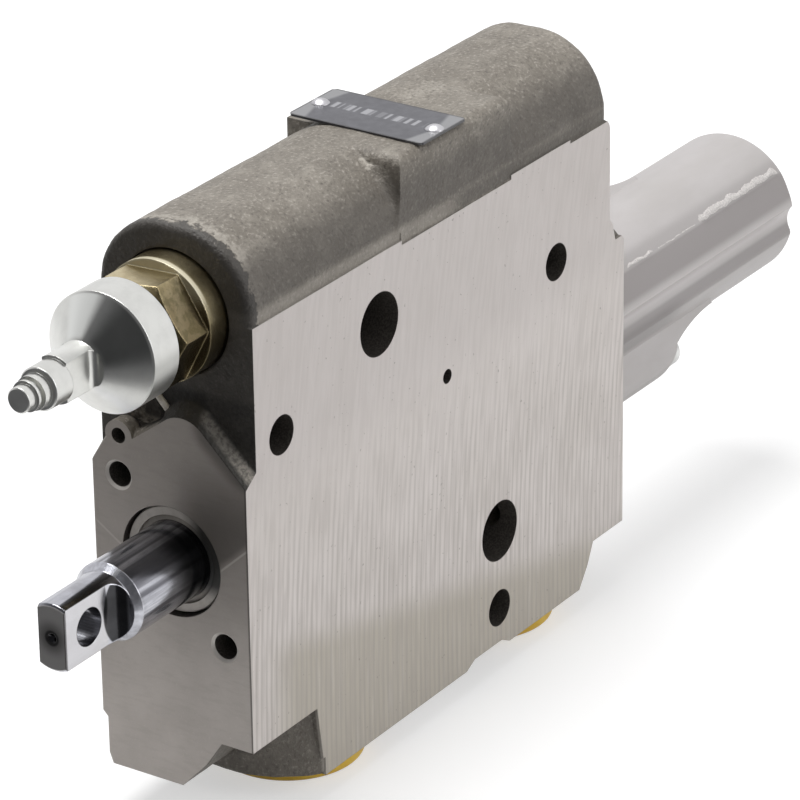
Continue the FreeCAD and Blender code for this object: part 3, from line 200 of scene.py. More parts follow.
def cast_finish():
    """Sand-cast iron skin: sandy grain over soft clouds, with painted shade at the lever end, in the hollows and
    along the barrel, painted highlights on its edges and lighter patches on the nameplate pad.
    """
    material, tree, shader, place = start_finish("cast_iron", 0.55, 0.1)
    at = axes(tree, place)
    clouds = grain(tree, place, 20.0)
    blotches = grain(tree, place, 5.0, 4.0)
    sand = grain(tree, place, 1.0, 2.5)
    teeth = grain(tree, place, 2.2, 3.0)
    tone = mixed(tree, band(tree, clouds, 0.3, 0.7), srgb(114, 108, 99), srgb(128, 122, 113))
    tone = stain_and_painted_light(tree, tone, band(tree, blotches, 0.45, 0.75), 0.5, srgb(152, 146, 136))
    tone = stain_and_painted_light(tree, tone, band(tree, sand, 0.52, 0.75), 0.8, srgb(166, 160, 151))
    tone = stain_and_painted_light(tree, tone, band(tree, sand, 0.46, 0.24), 0.8, srgb(78, 73, 67))
    # A ragged X for the edges of the painted shade and the painted highlight at the barrel's front end.
    at["ragged"] = sums(tree, "ADD", at["x"], share(tree, sums(tree, "SUBTRACT", teeth, 0.5), RAGGED_WANDER * MM))
    for limits, part, colour in CAST_PAINTED_LIGHT_AND_MARKS:
        tone = stain_and_painted_light(tree, tone, patch(tree, at, **limits), part, colour)
    # Painted highlight along the crest of the end pad's flank, strongest low down and on the sand grains.
    low_glint = sums(tree, "ADD", share(tree, patch(tree, at, z=(35.0, 27.0)), 0.35), 0.25)
    sandy_glint = sums(tree, "ADD", share(tree, band(tree, sand, 0.35, 0.6), 0.6), 0.4)
    crest = meeting(tree, patch(tree, at, **PAD_CREST), low_glint, sandy_glint)
    tone = mixed(tree, crest, tone, srgb(196, 189, 178))
    # Painted highlights on the nameplate pad's corner, and lighter patches on its top.
    for centre_mm, reach_mm, part in PAD_HIGHLIGHTS_AND_PATCHES:
        spot = sums(tree, "ADD", distance(tree, place, centre_mm, (1.0, 1.0, 1.0)),
                    share(tree, sums(tree, "SUBTRACT", blotches, 0.5), PAD_SPOT_WANDER * MM))
        pad_spot = band(tree, spot, reach_mm * MM, (reach_mm - PAD_SPOT_FADE) * MM)
        tone = stain_and_painted_light(tree, tone, meeting(tree, pad_spot, band(tree, sand, 0.30, 0.55)), part, srgb(186, 180, 170))
    tree.links.new(tone, shader.inputs["Base Color"])
    rough_up(tree, shader, (blotches, 0.5), (sand, 0.3), edge_mm=1.0)
    return material


# The face cutter's middle on its way out and back, and how far it moves in one turn.
CUTTER_CENTRE = (640.0, 0.0, -60.0)
RETURN_CENTRE = (-520.0, 0.0, -30.0)
CUTTER_FEED = 2.2


def milled_finish():
    """Face-milled side: the cutter's long arcs, a faint crossing set, specks and a tanned zone above the feet."""
    material, tree, shader, place = start_finish("milled_iron", 0.45, 0.15)
    at = axes(tree, place)
    arcs = []
    for centre_mm, pitch_mm in ((CUTTER_CENTRE, 1.25), (RETURN_CENTRE, 1.6)):
        reach = distance(tree, place, centre_mm, (1.0, 0.0, 1.0))
        along = put(tree, "CombineXYZ", {0: reach, 1: share(tree, at["z"], 0.07)}).outputs[0]
        marks = put(tree, "TexNoise", {"Vector": along, "Scale": 1.0 / (pitch_mm * MM), "Detail": 2.0})
        arcs.append(marks.outputs["Fac"])
    reach = distance(tree, place, CUTTER_CENTRE, (1.0, 0.0, 1.0))
    feed = sums(tree, "SINE", share(tree, reach, 2 * math.pi / (CUTTER_FEED * MM)), 0.0)
    cloud = grain(tree, place, 24.0)
    speck = grain(tree, place, 1.1, 1.0)
    tone = mixed(tree, band(tree, cloud, 0.3, 0.75), srgb(220, 213, 209), srgb(212, 205, 200))
    tone = stain_and_painted_light(tree, tone, patch(tree, at, z=(12.0, 34.0)), 0.5, srgb(198, 191, 188))
    at["sloping_z"] = sums(tree, "ADD", at["z"], share(tree, sums(tree, "SUBTRACT", at["x"], 25.0 * MM), 0.22))
    tanned = patch(tree, at, sloping_z=(-21.0, -32.0), x=(4.0, 22.0))
    tone = mixed(tree, tanned, tone, srgb(188, 181, 169))
    depth = sums(tree, "ADD", share(tree, patch(tree, at, z=(30.0, -15.0)), 0.17), 0.12)
    tone = mixed(tree, meeting(tree, band(tree, arcs[0], 0.40, 0.62), depth), tone, srgb(166, 159, 153))
    tone = mixed(tree, meeting(tree, band(tree, arcs[1], 0.52, 0.72), share(tree, depth, 0.5)), tone,
                 srgb(234, 229, 225))
    low_feed = meeting(tree, band(tree, feed, -0.2, 1.0), patch(tree, at, z=(30.0, -35.0)))
    tone = stain_and_painted_light(tree, tone, low_feed, 0.42, srgb(164, 157, 149))
    tone = stain_and_painted_light(tree, tone, band(tree, speck, 0.74, 0.79), 0.6, srgb(130, 122, 114))
    tree.links.new(tone, shader.inputs["Base Color"])
    rough_up(tree, shader, (arcs[0], 0.03), (feed, 0.006), edge_mm=0.4)
    return material


BRACKET_HOLES = ((15.51, 19.99), (-15.51, -19.99))
BRACKET_RADIUS = 3.4
BEVEL = 0.7
# Fine bright lines on the end pad: Y and Z of the middle, and the rise along Y.
WITNESS_LINES = ((18.9, 3.0, 0.66), (-19.2, 5.0, -0.92))
WITNESS_AND_HIGHLIGHT_GREY = srgb(206, 201, 195)


def leaning(tree, at, lean, rise_mm):
    """Height above a line on the end pad that climbs by lean for each step along Y."""
    return sums(tree, "SUBTRACT", sums(tree, "SUBTRACT", at["z"], share(tree, at["y"], lean)), rise_mm * MM)


def faced_finish():
    """Machined end pad and feet: smooth brownish grey, with painted shade toward the top, beside the spool and along
    some edges, and painted highlights on the broken hole edges.
    """
    material, tree, shader, place = start_finish("faced_iron", 0.42, 0.25)
    at = axes(tree, place)
    cloud = grain(tree, place, 18.0)
    wipe = grain(tree, place, 1.4, 3.0, (1.0, 5.0, 1.0))
    speck = grain(tree, place, 0.6, 2.0)
    tone = mixed(tree, band(tree, cloud, 0.3, 0.7), srgb(176, 169, 163), srgb(186, 179, 173))
    tone = stain_and_painted_light(tree, tone, band(tree, wipe, 0.45, 0.7), 0.2, srgb(154, 146, 139))
    tone = stain_and_painted_light(tree, tone, band(tree, speck, 0.55, 0.8), 0.35, srgb(202, 196, 191))
    # Painted shade, darker toward the top, under the barrel and the spindle head.
    tone = stain_and_painted_light(tree, tone, patch(tree, at, z=(-30.0, 20.0)), 0.2, srgb(118, 111, 104))
    # Painted shadow on the near side of the spool.
    tone = stain_and_painted_light(tree, tone, patch(tree, at, y=(8.0, -20.0), z=(-28.0, 4.0)), 0.3, srgb(96, 90, 84))
    # Painted shadow beside the spool, ending sharply along the second witness line.
    at["above_line"] = leaning(tree, at, -0.92, -12.66)
    at["cloudy_y"] = sums(tree, "ADD", at["y"], share(tree, cloud, 6.0 * MM))
    spool_shadow = patch(tree, at, above_line=(-1.0, 3.0), z=(34.0, 12.0), cloudy_y=(6.0, -10.0))
    tone = stain_and_painted_light(tree, tone, spool_shadow, 0.62, srgb(62, 58, 54))
    # Painted shade along the end pad's slanted upper edge, below the flank.
    at["inside_edge"] = leaning(tree, at, 0.845, 46.1)
    slanted_edge = patch(tree, at, inside_edge=(-6.0, -0.5), y=(-6.0, -11.0), z=(23.0, 27.0))
    tone = stain_and_painted_light(tree, tone, slanted_edge, 0.6, srgb(64, 59, 55))
    for line_y, line_z, lean in WITNESS_LINES:
        at["off"] = sums(tree, "ABSOLUTE", leaning(tree, at, lean, line_z - line_y * lean), 0.0)
        at["aside"] = sums(tree, "ABSOLUTE", sums(tree, "SUBTRACT", at["y"], line_y * MM), 0.0)
        tone = stain_and_painted_light(tree, tone, patch(tree, at, off=(0.5, 0.2), aside=(4.6, 3.6)), 0.5, WITNESS_AND_HIGHLIGHT_GREY)
    # Painted shade along the corner with the milled side.
    tone = stain_and_painted_light(tree, tone, patch(tree, at, y=(-22.8, -23.2)), 0.7, srgb(70, 65, 60))
    # Painted highlight on the bevel round each bracket hole.
    for hole_y, hole_z in BRACKET_HOLES:
        rim = distance(tree, place, (0.0, hole_y, hole_z), (0.0, 1.0, 1.0))
        bevel = band(tree, rim, (BRACKET_RADIUS + BEVEL + 0.05) * MM, (BRACKET_RADIUS + BEVEL - 0.05) * MM)
        tone = mixed(tree, bevel, tone, WITNESS_AND_HIGHLIGHT_GREY)
    tree.links.new(tone, shader.inputs["Base Color"])
    rough_up(tree, shader, (wipe, 0.02), (speck, 0.02), edge_mm=0.4)
    return material


def bored_finish():
    """Drilled and bored walls: bare iron painted dark as the shade inside the holes."""
    material, tree, shader, place = start_finish("bored_iron", 0.38, 0.4)
    rings = grain(tree, place, 0.5, 2.0)
    tone = mixed(tree, band(tree, rings, 0.35, 0.7), srgb(74, 70, 66), srgb(104, 99, 94))
    tree.links.new(tone, shader.inputs["Base Color"])
    rough_up(tree, shader, (rings, 0.02))
    return material


HALF_THICKNESS = 23.5
REAR_END_X = 178.8
PORT_FACE_Z = -68.5
SPOOL_BORE_RADIUS = 15.1
UPPER_AXIS_Z = 66.4
UPPER_BORE_RADIUS = 16.7
UPPER_BORE_END_X = 155.0
PORT_XS = (48.8, 142.0)
PORT_RADIUS = 14.3
PORT_TOP_Z = -45.0
OIL_WAYS_X = (30.0, 160.0)
OIL_WAYS_RADIUS = 20.0
# Holes across the section: X, Z and radius. Blind holes in both ends: Y, Z, radius and depth.
Y_HOLES = ((15.7, 34.4, 5.4), (143.9, 34.4, 5.4), (114.9, -56.3, 5.4), (59.5, 47.8, 11.4), (115.2, -33.3, 11.4),
           (90.5, 21.5, 7.0))
X_HOLES = ((15.51, 19.99, 3.6, 19.0), (-15.51, -19.99, 3.6, 19.0), (15.0, 31.0, 2.2, 9.0))
CAST, MILLED, FACED, BORED = range(4)
SQUARE_ON = 0.99
NEAR = 0.05


def body_surface(centre, normal):
    """Which finish a face of the body has, from its place in mm and its direction."""
    x, y, z = centre
    if abs(normal.y) > SQUARE_ON and abs(y) > HALF_THICKNESS - NEAR:
        return MILLED
    if abs(normal.x) > SQUARE_ON and (abs(x) < NEAR or abs(x - REAR_END_X) < NEAR):
        return FACED
    if normal.z < -SQUARE_ON and abs(z - PORT_FACE_Z) < NEAR:
        return FACED
    for axis_y, axis_z in BRACKET_HOLES:
        if math.hypot(y - axis_y, z - axis_z) < BRACKET_RADIUS + BEVEL and x < BEVEL:
            return FACED
    for axis_x, axis_z, radius in Y_HOLES:
        if math.hypot(x - axis_x, z - axis_z) < radius and abs(y) < HALF_THICKNESS:
            return BORED
    for axis_y, axis_z, radius, depth in X_HOLES:
        if math.hypot(y - axis_y, z - axis_z) < radius and (x < depth or x > REAR_END_X - depth):
            return BORED
    if math.hypot(y, z) < SPOOL_BORE_RADIUS:
        return BORED
    if math.hypot(y, z - UPPER_AXIS_Z) < UPPER_BORE_RADIUS and x < UPPER_BORE_END_X:
        return BORED
    for port_x in PORT_XS:
        if math.hypot(x - port_x, y) < PORT_RADIUS and z < PORT_TOP_Z:
            return BORED
    if OIL_WAYS_X[0] < x < OIL_WAYS_X[1] and math.hypot(y, z) < OIL_WAYS_RADIUS:
        return BORED
    return CAST


WELD = 0.002


def copied(node_name, piece_name):
    """A free copy of a part's mesh, welded into one skin, that stands for it."""
    piece = bpy.data.objects.new(piece_name, nodes[node_name].data.copy())
    bpy.context.scene.collection.objects.link(piece)
    piece.data.materials.clear()
    skin = bmesh.new()
    skin.from_mesh(piece.data)
    bmesh.ops.remove_doubles(skin, verts=skin.verts, dist=WELD * MM)
    return piece, skin


SKIN_STEP = 3.0
STEP_SHIFT = 0.137
LONG_EDGE = 1.2
# Size and depth of the bumps in the cast skin.
SKIN_WAVES = ((14.0, 0.18), (4.5, 0.12), (2.2, 0.07))


def cut_into_strips(skin, axis, spacing, chosen):
    """Cut the chosen faces across an axis at even spacing, so that the skin can follow a rough surface."""
    direction = Vector([1.0 if i == axis else 0.0 for i in range(3)])
    reach = [v.co[axis] / MM for f in skin.faces if chosen(f) for v in f.verts]
    first = math.floor(min(reach) / spacing) + 1
    for step in range(first, math.ceil(max(reach) / spacing)):
        level = (step + STEP_SHIFT) * spacing * MM
        crossed = [f for f in skin.faces if chosen(f)
                   and min(v.co[axis] for v in f.verts) < level < max(v.co[axis] for v in f.verts)]
        edges = {e for f in crossed for e in f.edges}
        verts = {v for f in crossed for v in f.verts}
        bmesh.ops.bisect_plane(skin, geom=crossed + list(edges) + list(verts), dist=1e-7,
                               plane_co=direction * level, plane_no=direction)


def finish_skin(piece, skin, materials, sharp_degrees):
    """Put the reworked skin into the piece, smooth but for its sharp edges."""
    for face in skin.faces:
        face.smooth = True
    skin.to_mesh(piece.data)
    skin.free()
    for material in materials:
        piece.data.materials.append(material)
    if "custom_normal" in piece.data.attributes:
        piece.data.attributes.remove(piece.data.attributes["custom_normal"])
    piece.data.set_sharp_from_angle(angle=math.radians(sharp_degrees))


RIM_WIDTH = 0.6
RIM_DEPTH = 0.5
ON_FACE = 0.01
ON_WALL = 0.1

casting, skin = copied("valve_body", "valve_casting")
# Bevel round the two bracket holes.
for vertex in skin.verts:
    for axis_y, axis_z in BRACKET_HOLES:
        reach = math.hypot(vertex.co.y / MM - axis_y, vertex.co.z / MM - axis_z)
        if abs(vertex.co.x) < ON_FACE * MM and reach < BRACKET_RADIUS + RIM_WIDTH:
            outward = Vector((0, vertex.co.y - axis_y * MM, vertex.co.z - axis_z * MM))
            vertex.co += outward * ((BRACKET_RADIUS + BEVEL) / reach - 1)
        elif abs(vertex.co.x) < RIM_DEPTH * MM and reach < BRACKET_RADIUS + ON_WALL:
            vertex.co.x = BEVEL * MM
skin.normal_update()
for face in skin.faces:
    face.material_index = body_surface(face.calc_center_median() / MM, face.normal)
# A finer net for the cast faces, whose corners are then pushed in and out.
for axis in (0, 2, 1):
    cut_into_strips(skin, axis, SKIN_STEP, lambda f: f.material_index == CAST)
cast_edges = list({e for f in skin.faces if f.material_index == CAST for e in f.edges
                   if e.calc_length() > LONG_EDGE * MM and all(g.material_index == CAST for g in e.link_faces)})
bmesh.ops.subdivide_edges(skin, edges=cast_edges, cuts=1, use_grid_fill=True)
bmesh.ops.triangulate(skin, faces=[f for f in skin.faces if len(f.verts) > 4])
skin.normal_update()
moves = {}
for vertex in skin.verts:
    if vertex.link_faces and all(f.material_index == CAST for f in vertex.link_faces):
        push = sum(depth * noise.noise(vertex.co / (size * MM) + Vector((size, 0, 0))) for size, depth in SKIN_WAVES)
        moves[vertex] = vertex.normal * push * MM
for vertex, move in moves.items():
    vertex.co += move
cast_iron = cast_finish()
finish_skin(casting, skin, [cast_iron, milled_finish(), faced_finish(), bored_finish()], 38)
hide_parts("valve_body")
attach(casting, "body")


def new_piece(name):
    """An empty piece in the scene."""
    piece = bpy.data.objects.new(name, bpy.data.meshes.new(name))
    bpy.context.scene.collection.objects.link(piece)
    return piece


def join_rows(skin, rows, ring=True):
    """Faces from each row of corners to the next, and one over each end; a ring's rows close on themselves."""
    for first, second in zip(rows, rows[1:]):
        for k in range(len(first) if ring else len(first) - 1):
            n = (k + 1) % len(first)
            skin.faces.new((first[k], first[n], second[n], second[k]))
    for row in (rows[0], rows[-1]):
        skin.faces.new(row)
    bmesh.ops.recalc_face_normals(skin, faces=skin.faces)


BOSS_RADIUS = 29.0
BOSS_LOW_Z = -68.4
BOSS_HIGH_Z = -47.0
BOSS_ROOT_ROUND = 3.0
BOSS_FOOT_ROUND = 0.8
BOSS_FOOT_PULL = 0.5
BOSS_FIRST_TURN = -43.6
BOSS_TURNS = 97.2
BOSS_BACK_X = 33.5
BOSS_NEAR_Y = -23.4
BOSS_FAR_Y = 20.0
BOSS_ROUGHER = 2.2


def port_boss(steps_round=60, steps_high=24):
    """The skin of the round cast wall of the front port, where it swells into the pocket under the end pad."""
    skin = bmesh.new()
    levels = []
    for i in range(steps_high + 1):
        z = BOSS_LOW_Z + (BOSS_HIGH_Z - BOSS_LOW_Z) * i / steps_high
        climb = min(1.0, max(0.0, (z - BOSS_HIGH_Z + BOSS_ROOT_ROUND) / BOSS_ROOT_ROUND))
        radius = BOSS_RADIUS + BOSS_ROOT_ROUND * (1 - math.sqrt(1 - climb ** 2))
        foot = max(0.0, 1 - (z - BOSS_LOW_Z) / BOSS_FOOT_ROUND)
        level = []
        for k in range(steps_round + 1):
            turn = math.radians(BOSS_FIRST_TURN + BOSS_TURNS * k / steps_round)
            point = Vector((PORT_XS[0] - radius * math.cos(turn), -radius * math.sin(turn), z))
            push = sum(BOSS_ROUGHER * depth * noise.noise(point / size + Vector((size, 4, 0)))
                       for size, depth in SKIN_WAVES)
            outward = Vector((-math.cos(turn), -math.sin(turn), 0))
            point += outward * (push - BOSS_FOOT_PULL * foot ** 2)
            point.y = max(point.y, BOSS_NEAR_Y)
            level.append(skin.verts.new(point * MM))
        level.append(skin.verts.new(Vector((BOSS_BACK_X, BOSS_NEAR_Y, z)) * MM))
        level.append(skin.verts.new(Vector((BOSS_BACK_X, BOSS_FAR_Y, z)) * MM))
        levels.append(level)
    join_rows(skin, levels)
    return skin


boss = new_piece("front_port_boss")
finish_skin(boss, port_boss(), [cast_iron], 50)
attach(boss, "body")

RIB_FOOT = Vector((4.3, 0.9, 38.0))
RIB_TOP = Vector((4.5, 6.3, 43.4))
RIB_RADIUS = 1.0
RIB_UNEVEN = 0.12


def rounded_bar(foot, top, radius, steps=14, sides=12):
    """The skin of a cast rib: a round bar that swells from nothing at both ends."""
    skin = bmesh.new()
    run = (top - foot).normalized()
    out = run.cross(Vector((1, 0, 0))).normalized()
    rings = []
    for i in range(steps + 1):
        along = i / steps
        swell = max(0.02, 1 - (2 * along - 1) ** 4) ** 0.5
        wide = radius * swell * (1 + RIB_UNEVEN * noise.noise(Vector((i * 0.7, 0, 0))))
        centre = foot.lerp(top, along)
        rings.append([skin.verts.new((centre + wide * (math.cos(a) * out + math.sin(a) * Vector((1, 0, 0)))) * MM)
                      for a in (2 * math.pi * k / sides for k in range(sides))])
    join_rows(skin, rings)
    return skin


def lit_rib_finish():
    """Cast rib painted bright all over: a painted highlight."""
    material, tree, shader, place = start_finish("lit_rib_iron", 0.42, 0.3)
    rub = grain(tree, place, 1.0, 3.0)
    tone = mixed(tree, band(tree, rub, 0.35, 0.7), srgb(196, 190, 181), srgb(226, 221, 213))
    tree.links.new(tone, shader.inputs["Base Color"])
    rough_up(tree, shader, (rub, 0.1))
    return material


rib = new_piece("hollow_rib")
finish_skin(rib, rounded_bar(RIB_FOOT, RIB_TOP, RIB_RADIUS), [lit_rib_finish()], 180)
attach(rib, "body")

# Main spool
# Hardened steel spool, ground and polished, with a flat eye for the lever's link on its free end.
# It slides in the body; the flats of the eye are milled, so they shine less.


def dress(material, *names):
    """Give carried-over pieces their finish."""
    for name in names:
        for holder in nodes[name].material_slots:
            holder.material = material


EYE_END_X = -49.2
EYE_HOLE_X = -39.5
EYE_HOLE_RADIUS = 5.0
EYE_HALF_THICKNESS = 4.0
EYE_BAR_RADIUS = 9.1
EYE_ROOT_X = -28.0
# The hollow's edge is an arch: where it starts, and how fast it bends away.
ARCH_X = -33.8
ARCH_BEND = 45.0
GROUND_PART = dict(x=(-26.2, -25.5))
EYE_FACE = dict(x=(EYE_END_X + 0.3, EYE_END_X + 0.1))
SPOOL_MARKS_AND_PAINTED_SHADE = (
    # Oil drawn out of the body as a thin veil all round, and painted shadow, black, on one side.
    (dict(veil_x=(-20.0, -1.0)), 0.4, srgb(70, 68, 69)),
    (dict(shadow_x=(-11.0, -3.0), y=(0.0, -6.0)), 0.85, srgb(18, 21, 22)),
    # Milled flats of the eye, painted shade in the hollow that the cutter leaves at their root, and painted shade on
    # the wall of the hole.
    (dict(x=(-31.5, -33.0), out=(EYE_HALF_THICKNESS - 0.15, EYE_HALF_THICKNESS - 0.05)), 0.75, srgb(212, 211, 213)),
    (dict(from_arch=(-0.2, 0.4), x=(EYE_ROOT_X + 0.1, EYE_ROOT_X - 0.3),
          reach=(EYE_BAR_RADIUS - 0.05, EYE_BAR_RADIUS - 0.35)), 0.92, srgb(34, 34, 34)),
    (dict(from_hole=(EYE_HOLE_RADIUS + 0.05, EYE_HOLE_RADIUS - 0.05)), 0.8, srgb(34, 33, 33)),
    # Face of the eye: dull, darker toward its middle, with broken corners and painted shade in a centre hole.
    (EYE_FACE, 1.0, srgb(158, 156, 155)),
    (dict(EYE_FACE, reach=(6.2, 1.5)), 0.75, srgb(58, 56, 55)),
    (dict(x=(EYE_END_X + 0.8, EYE_END_X + 0.5), out=(EYE_HALF_THICKNESS - 0.3, EYE_HALF_THICKNESS - 0.1)), 0.75,
     srgb(48, 47, 47)),
    (dict(x=(-44.0, -44.6), reach=(2.4, 1.8)), 0.9, srgb(24, 23, 23)),
)


def spool_finish():
    """Ground steel: streaks along the stroke, a thin veil and a painted shadow toward the body, painted reflections
    in long bands, and a dull end, with painted shade on the hole wall and in the milled hollow.
    """
    material, tree, shader, place = start_finish("ground_spool", 0.17, 1.0)
    at = axes(tree, place)
    streaks = grain(tree, place, 1.1, 2.0, (16.0, 1.0, 1.0))
    smear = grain(tree, place, 7.0, 3.0)
    bands = grain(tree, place, 3.4, 2.0, (60.0, 1.0, 1.0))
    ground = patch(tree, at, **GROUND_PART)
    streaked = sums(tree, "ADD", share(tree, ground, 0.75), 0.25)
    # Painted reflections: long dark bands along the spool, strongest on its ground part.
    tone = mixed(tree, meeting(tree, band(tree, bands, 0.54, 0.42), streaked), srgb(202, 203, 210),
                 srgb(122, 122, 128))
    tone = stain_and_painted_light(tree, tone, meeting(tree, band(tree, streaks, 0.62, 0.38), streaked), 0.4, srgb(100, 100, 107))
    tone = stain_and_painted_light(tree, tone, band(tree, smear, 0.40, 0.70), 0.4, srgb(128, 127, 130))
    at["veil_x"] = sums(tree, "ADD", at["x"], share(tree, streaks, 6.0 * MM))
    at["shadow_x"] = sums(tree, "ADD", at["x"], share(tree, streaks, 5.0 * MM))
    at["out"] = sums(tree, "ABSOLUTE", at["y"], 0.0)
    at["reach"] = distance(tree, place, (0.0, 0.0, 0.0), (0.0, 1.0, 1.0))
    at["from_hole"] = distance(tree, place, (EYE_HOLE_X, 0.0, 0.0), (1.0, 0.0, 1.0))
    arch = share(tree, meeting(tree, at["z"], at["z"]), ARCH_BEND)
    at["from_arch"] = sums(tree, "SUBTRACT", sums(tree, "SUBTRACT", at["x"], ARCH_X * MM), arch)
    for limits, part, colour in SPOOL_MARKS_AND_PAINTED_SHADE:
        tone = stain_and_painted_light(tree, tone, patch(tree, at, **limits), part, colour)
    tree.links.new(tone, shader.inputs["Base Color"])
    face = patch(tree, at, **EYE_FACE)
    filmed = sums(tree, "ADD", share(tree, face, 0.5), share(tree, ground, 0.15))
    tree.links.new(sums(tree, "SUBTRACT", 1.0, filmed), shader.inputs["Metallic"])
    tree.links.new(sums(tree, "ADD", share(tree, face, 0.2), 0.17), shader.inputs["Roughness"])
    rough_up(tree, shader, (streaks, 0.006), edge_mm=0.3)
    return material


dress(spool_finish(), "main_spool")

# Seal rings of the spool
# A grey steel ring holds a grey-brown wiper in the front recess; lip seals sit behind it and at the rear.
# Cord rings seal the cap, the plug, the spindle and the far side face.


def rubber_finish():
    """Black nitrile, matt with a faint bloom."""
    material, tree, shader, place = start_finish("nitrile", 0.55)
    bloom = grain(tree, place, 2.5, 3.0)
    tone = mixed(tree, band(tree, bloom, 0.4, 0.8), srgb(26, 26, 27), srgb(44, 44, 46))
    tree.links.new(tone, shader.inputs["Base Color"])
    rough_up(tree, shader, (grain(tree, place, 0.4), 0.01))
    return material


def ring_finish(name, roughness, metallic, bright, dull):
    """Matt ring round the spool, with painted shadow, black, on one side."""
    material, tree, shader, place = start_finish(name, roughness, metallic)
    at = axes(tree, place)
    bloom = grain(tree, place, 2.0, 3.0)
    tone = mixed(tree, band(tree, bloom, 0.35, 0.75), bright, dull)
    # Painted shadow on the near side, beside the spool.
    tone = stain_and_painted_light(tree, tone, patch(tree, at, y=(-2.0, -9.0), z=(-9.5, -4.0)), 0.93, srgb(16, 19, 19))
    tree.links.new(tone, shader.inputs["Base Color"])
    rough_up(tree, shader, (grain(tree, place, 0.4), 0.01), edge_mm=0.2)
    return material


dress(ring_finish("retainer_ring", 0.42, 0.25, srgb(204, 198, 191), srgb(190, 184, 177)), "seal_retainer")
dress(ring_finish("wiper_polymer", 0.5, 0.0, srgb(140, 134, 128), srgb(156, 150, 143)), "wiper_seal")
dress(rubber_finish(), "front_spool_seal", "rear_spool_seal", "cap_seal", "plug_seal", "spindle_seal",
      "gallery_seals", "pilot_seal")

# Inner steel pieces
# Turned and drawn steel pieces inside the body and the cap: cups, sleeves, springs, drum, pin and compensator.
# They are plain bare metal with a thin film of oil.


def drawn_finish(name, bright, dull, roughness):
    """Plain bare steel with a slightly uneven film."""
    material, tree, shader, place = start_finish(name, roughness, 1.0)
    film = grain(tree, place, 4.0, 4.0)
    tone = mixed(tree, band(tree, film, 0.35, 0.7), bright, dull)
    tree.links.new(tone, shader.inputs["Base Color"])
    rough_up(tree, shader, (grain(tree, place, 0.5), 0.008), edge_mm=0.2)
    return material


dress(drawn_finish("bare_steel", srgb(196, 195, 192), srgb(168, 166, 162), 0.3),
      "rear_seal_washer", "bolt_sleeve", "bolt_washer", "front_spring_cup", "rear_spring_cup", "throttle_drum",
      "drum_pin", "metering_sleeve", "compensator_spool", "compensator_orifice", "spring_guide", "shuttle_seat",
      "shuttle_ball")
spring_wire = drawn_finish("spring_wire", srgb(150, 149, 150), srgb(120, 119, 120), 0.34)
dress(spring_wire, "spindle_clip")

# Each spring: its node, the name of its coil, what its front and its rear end push on, and its wire.
SPRINGS = (
    ("centring_spring", "centring_coil", "body", "spool", 2.4),
    ("compensator_spring", "compensator_coil", "compensator", "body", 1.6),
)
for node_name, piece_name, front_body, rear_body, wire_mm in SPRINGS:
    coil, skin = copied(node_name, piece_name)
    finish_skin(coil, skin, [spring_wire], 50)
    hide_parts(node_name)
    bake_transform(coil)

# Spring cap
# Die-cast light alloy pot over the centring spring, held by two long screws in lobes at its root.
# Its mould leaves a lengthwise parting line, with a ragged ridge of flash that was broken off by hand.
CAP_SIDE = dict(y=(-12.0, -15.0), x=(179.0, 180.0))
CAP_PAINTED_SHADING = (
    # Long bands of painted shade, with one painted highlight, on the cap's near side, from its crown down to the
    # lobe.
    (dict(z=(12.6, 13.8, 15.6, 18.6)), 0.45, srgb(148, 143, 142)),
    (dict(z=(3.8, 6.3, 12.4, 13.6)), 0.85, srgb(143, 138, 137)),
    (dict(z=(-2.2, 0.6, 3.0, 4.0)), 0.75, srgb(206, 201, 200)),
    (dict(z=(-6.5, -4.6, -3.0, -1.6)), 0.6, srgb(138, 133, 132)),
    (dict(x=(222.0, 206.0), z=(-11.0, -8.5, -5.0, -3.0)), 0.5, srgb(128, 124, 123)),
)


def die_cast_finish():
    """Fine matt alloy skin with soft flow clouds and long soft bands of painted shade and highlight on the near side.
    """
    material, tree, shader, place = start_finish("die_cast_alloy", 0.5, 0.35)
    at = axes(tree, place)
    flow = grain(tree, place, 11.0, 3.0, (2.5, 1.0, 1.0))
    pores = grain(tree, place, 0.6, 2.0)
    tone = mixed(tree, band(tree, flow, 0.3, 0.75), srgb(188, 184, 183), srgb(181, 177, 175))
    tone = stain_and_painted_light(tree, tone, band(tree, pores, 0.7, 0.8), 0.4, srgb(140, 136, 133))
    side = patch(tree, at, **CAP_SIDE)
    for limits, part, colour in CAP_PAINTED_SHADING:
        tone = stain_and_painted_light(tree, tone, meeting(tree, side, patch(tree, at, **limits)), part, colour)
    tree.links.new(tone, shader.inputs["Base Color"])
    rough_up(tree, shader, (flow, 0.03), (pores, 0.02), edge_mm=0.6)
    return material


cap, skin = copied("spring_cap", "cap_casting")
finish_skin(cap, skin, [die_cast_finish()], 35)
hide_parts("spring_cap")
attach(cap, "body")

CAP_RADIUS = 21.2
PARTING_ANGLE = math.radians(141.0)
FLASH_STEP = 0.5
FLASH_SINK = 0.12
FLASH_TAPER_STEPS = 4
# How far the ribbon wanders and how much it swells, each with its waves per mm.
FLASH_WANDER, WANDER_WAVES = 0.4, 0.27
FLASH_SWELL, SWELL_WAVES = 0.9, 0.19
# Across the ribbon: how far to the side, in widths, and how high.
FLASH_PROFILE = ((0.1, -0.25), (0.0, 0.7), (-0.3, 1.0), (-0.75, 0.6), (-1.0, -0.25))
# Each length of flash: its name, where it starts and ends, its width and height, and its seed.
FLASHES = (
    ("flash_root", 192.0, 207.0, 1.1, 0.45, 3),
    ("flash_middle", 207.5, 231.0, 0.5, 0.2, 5),
    ("flash_end", 231.5, 276.5, 2.3, 0.6, 8),
)


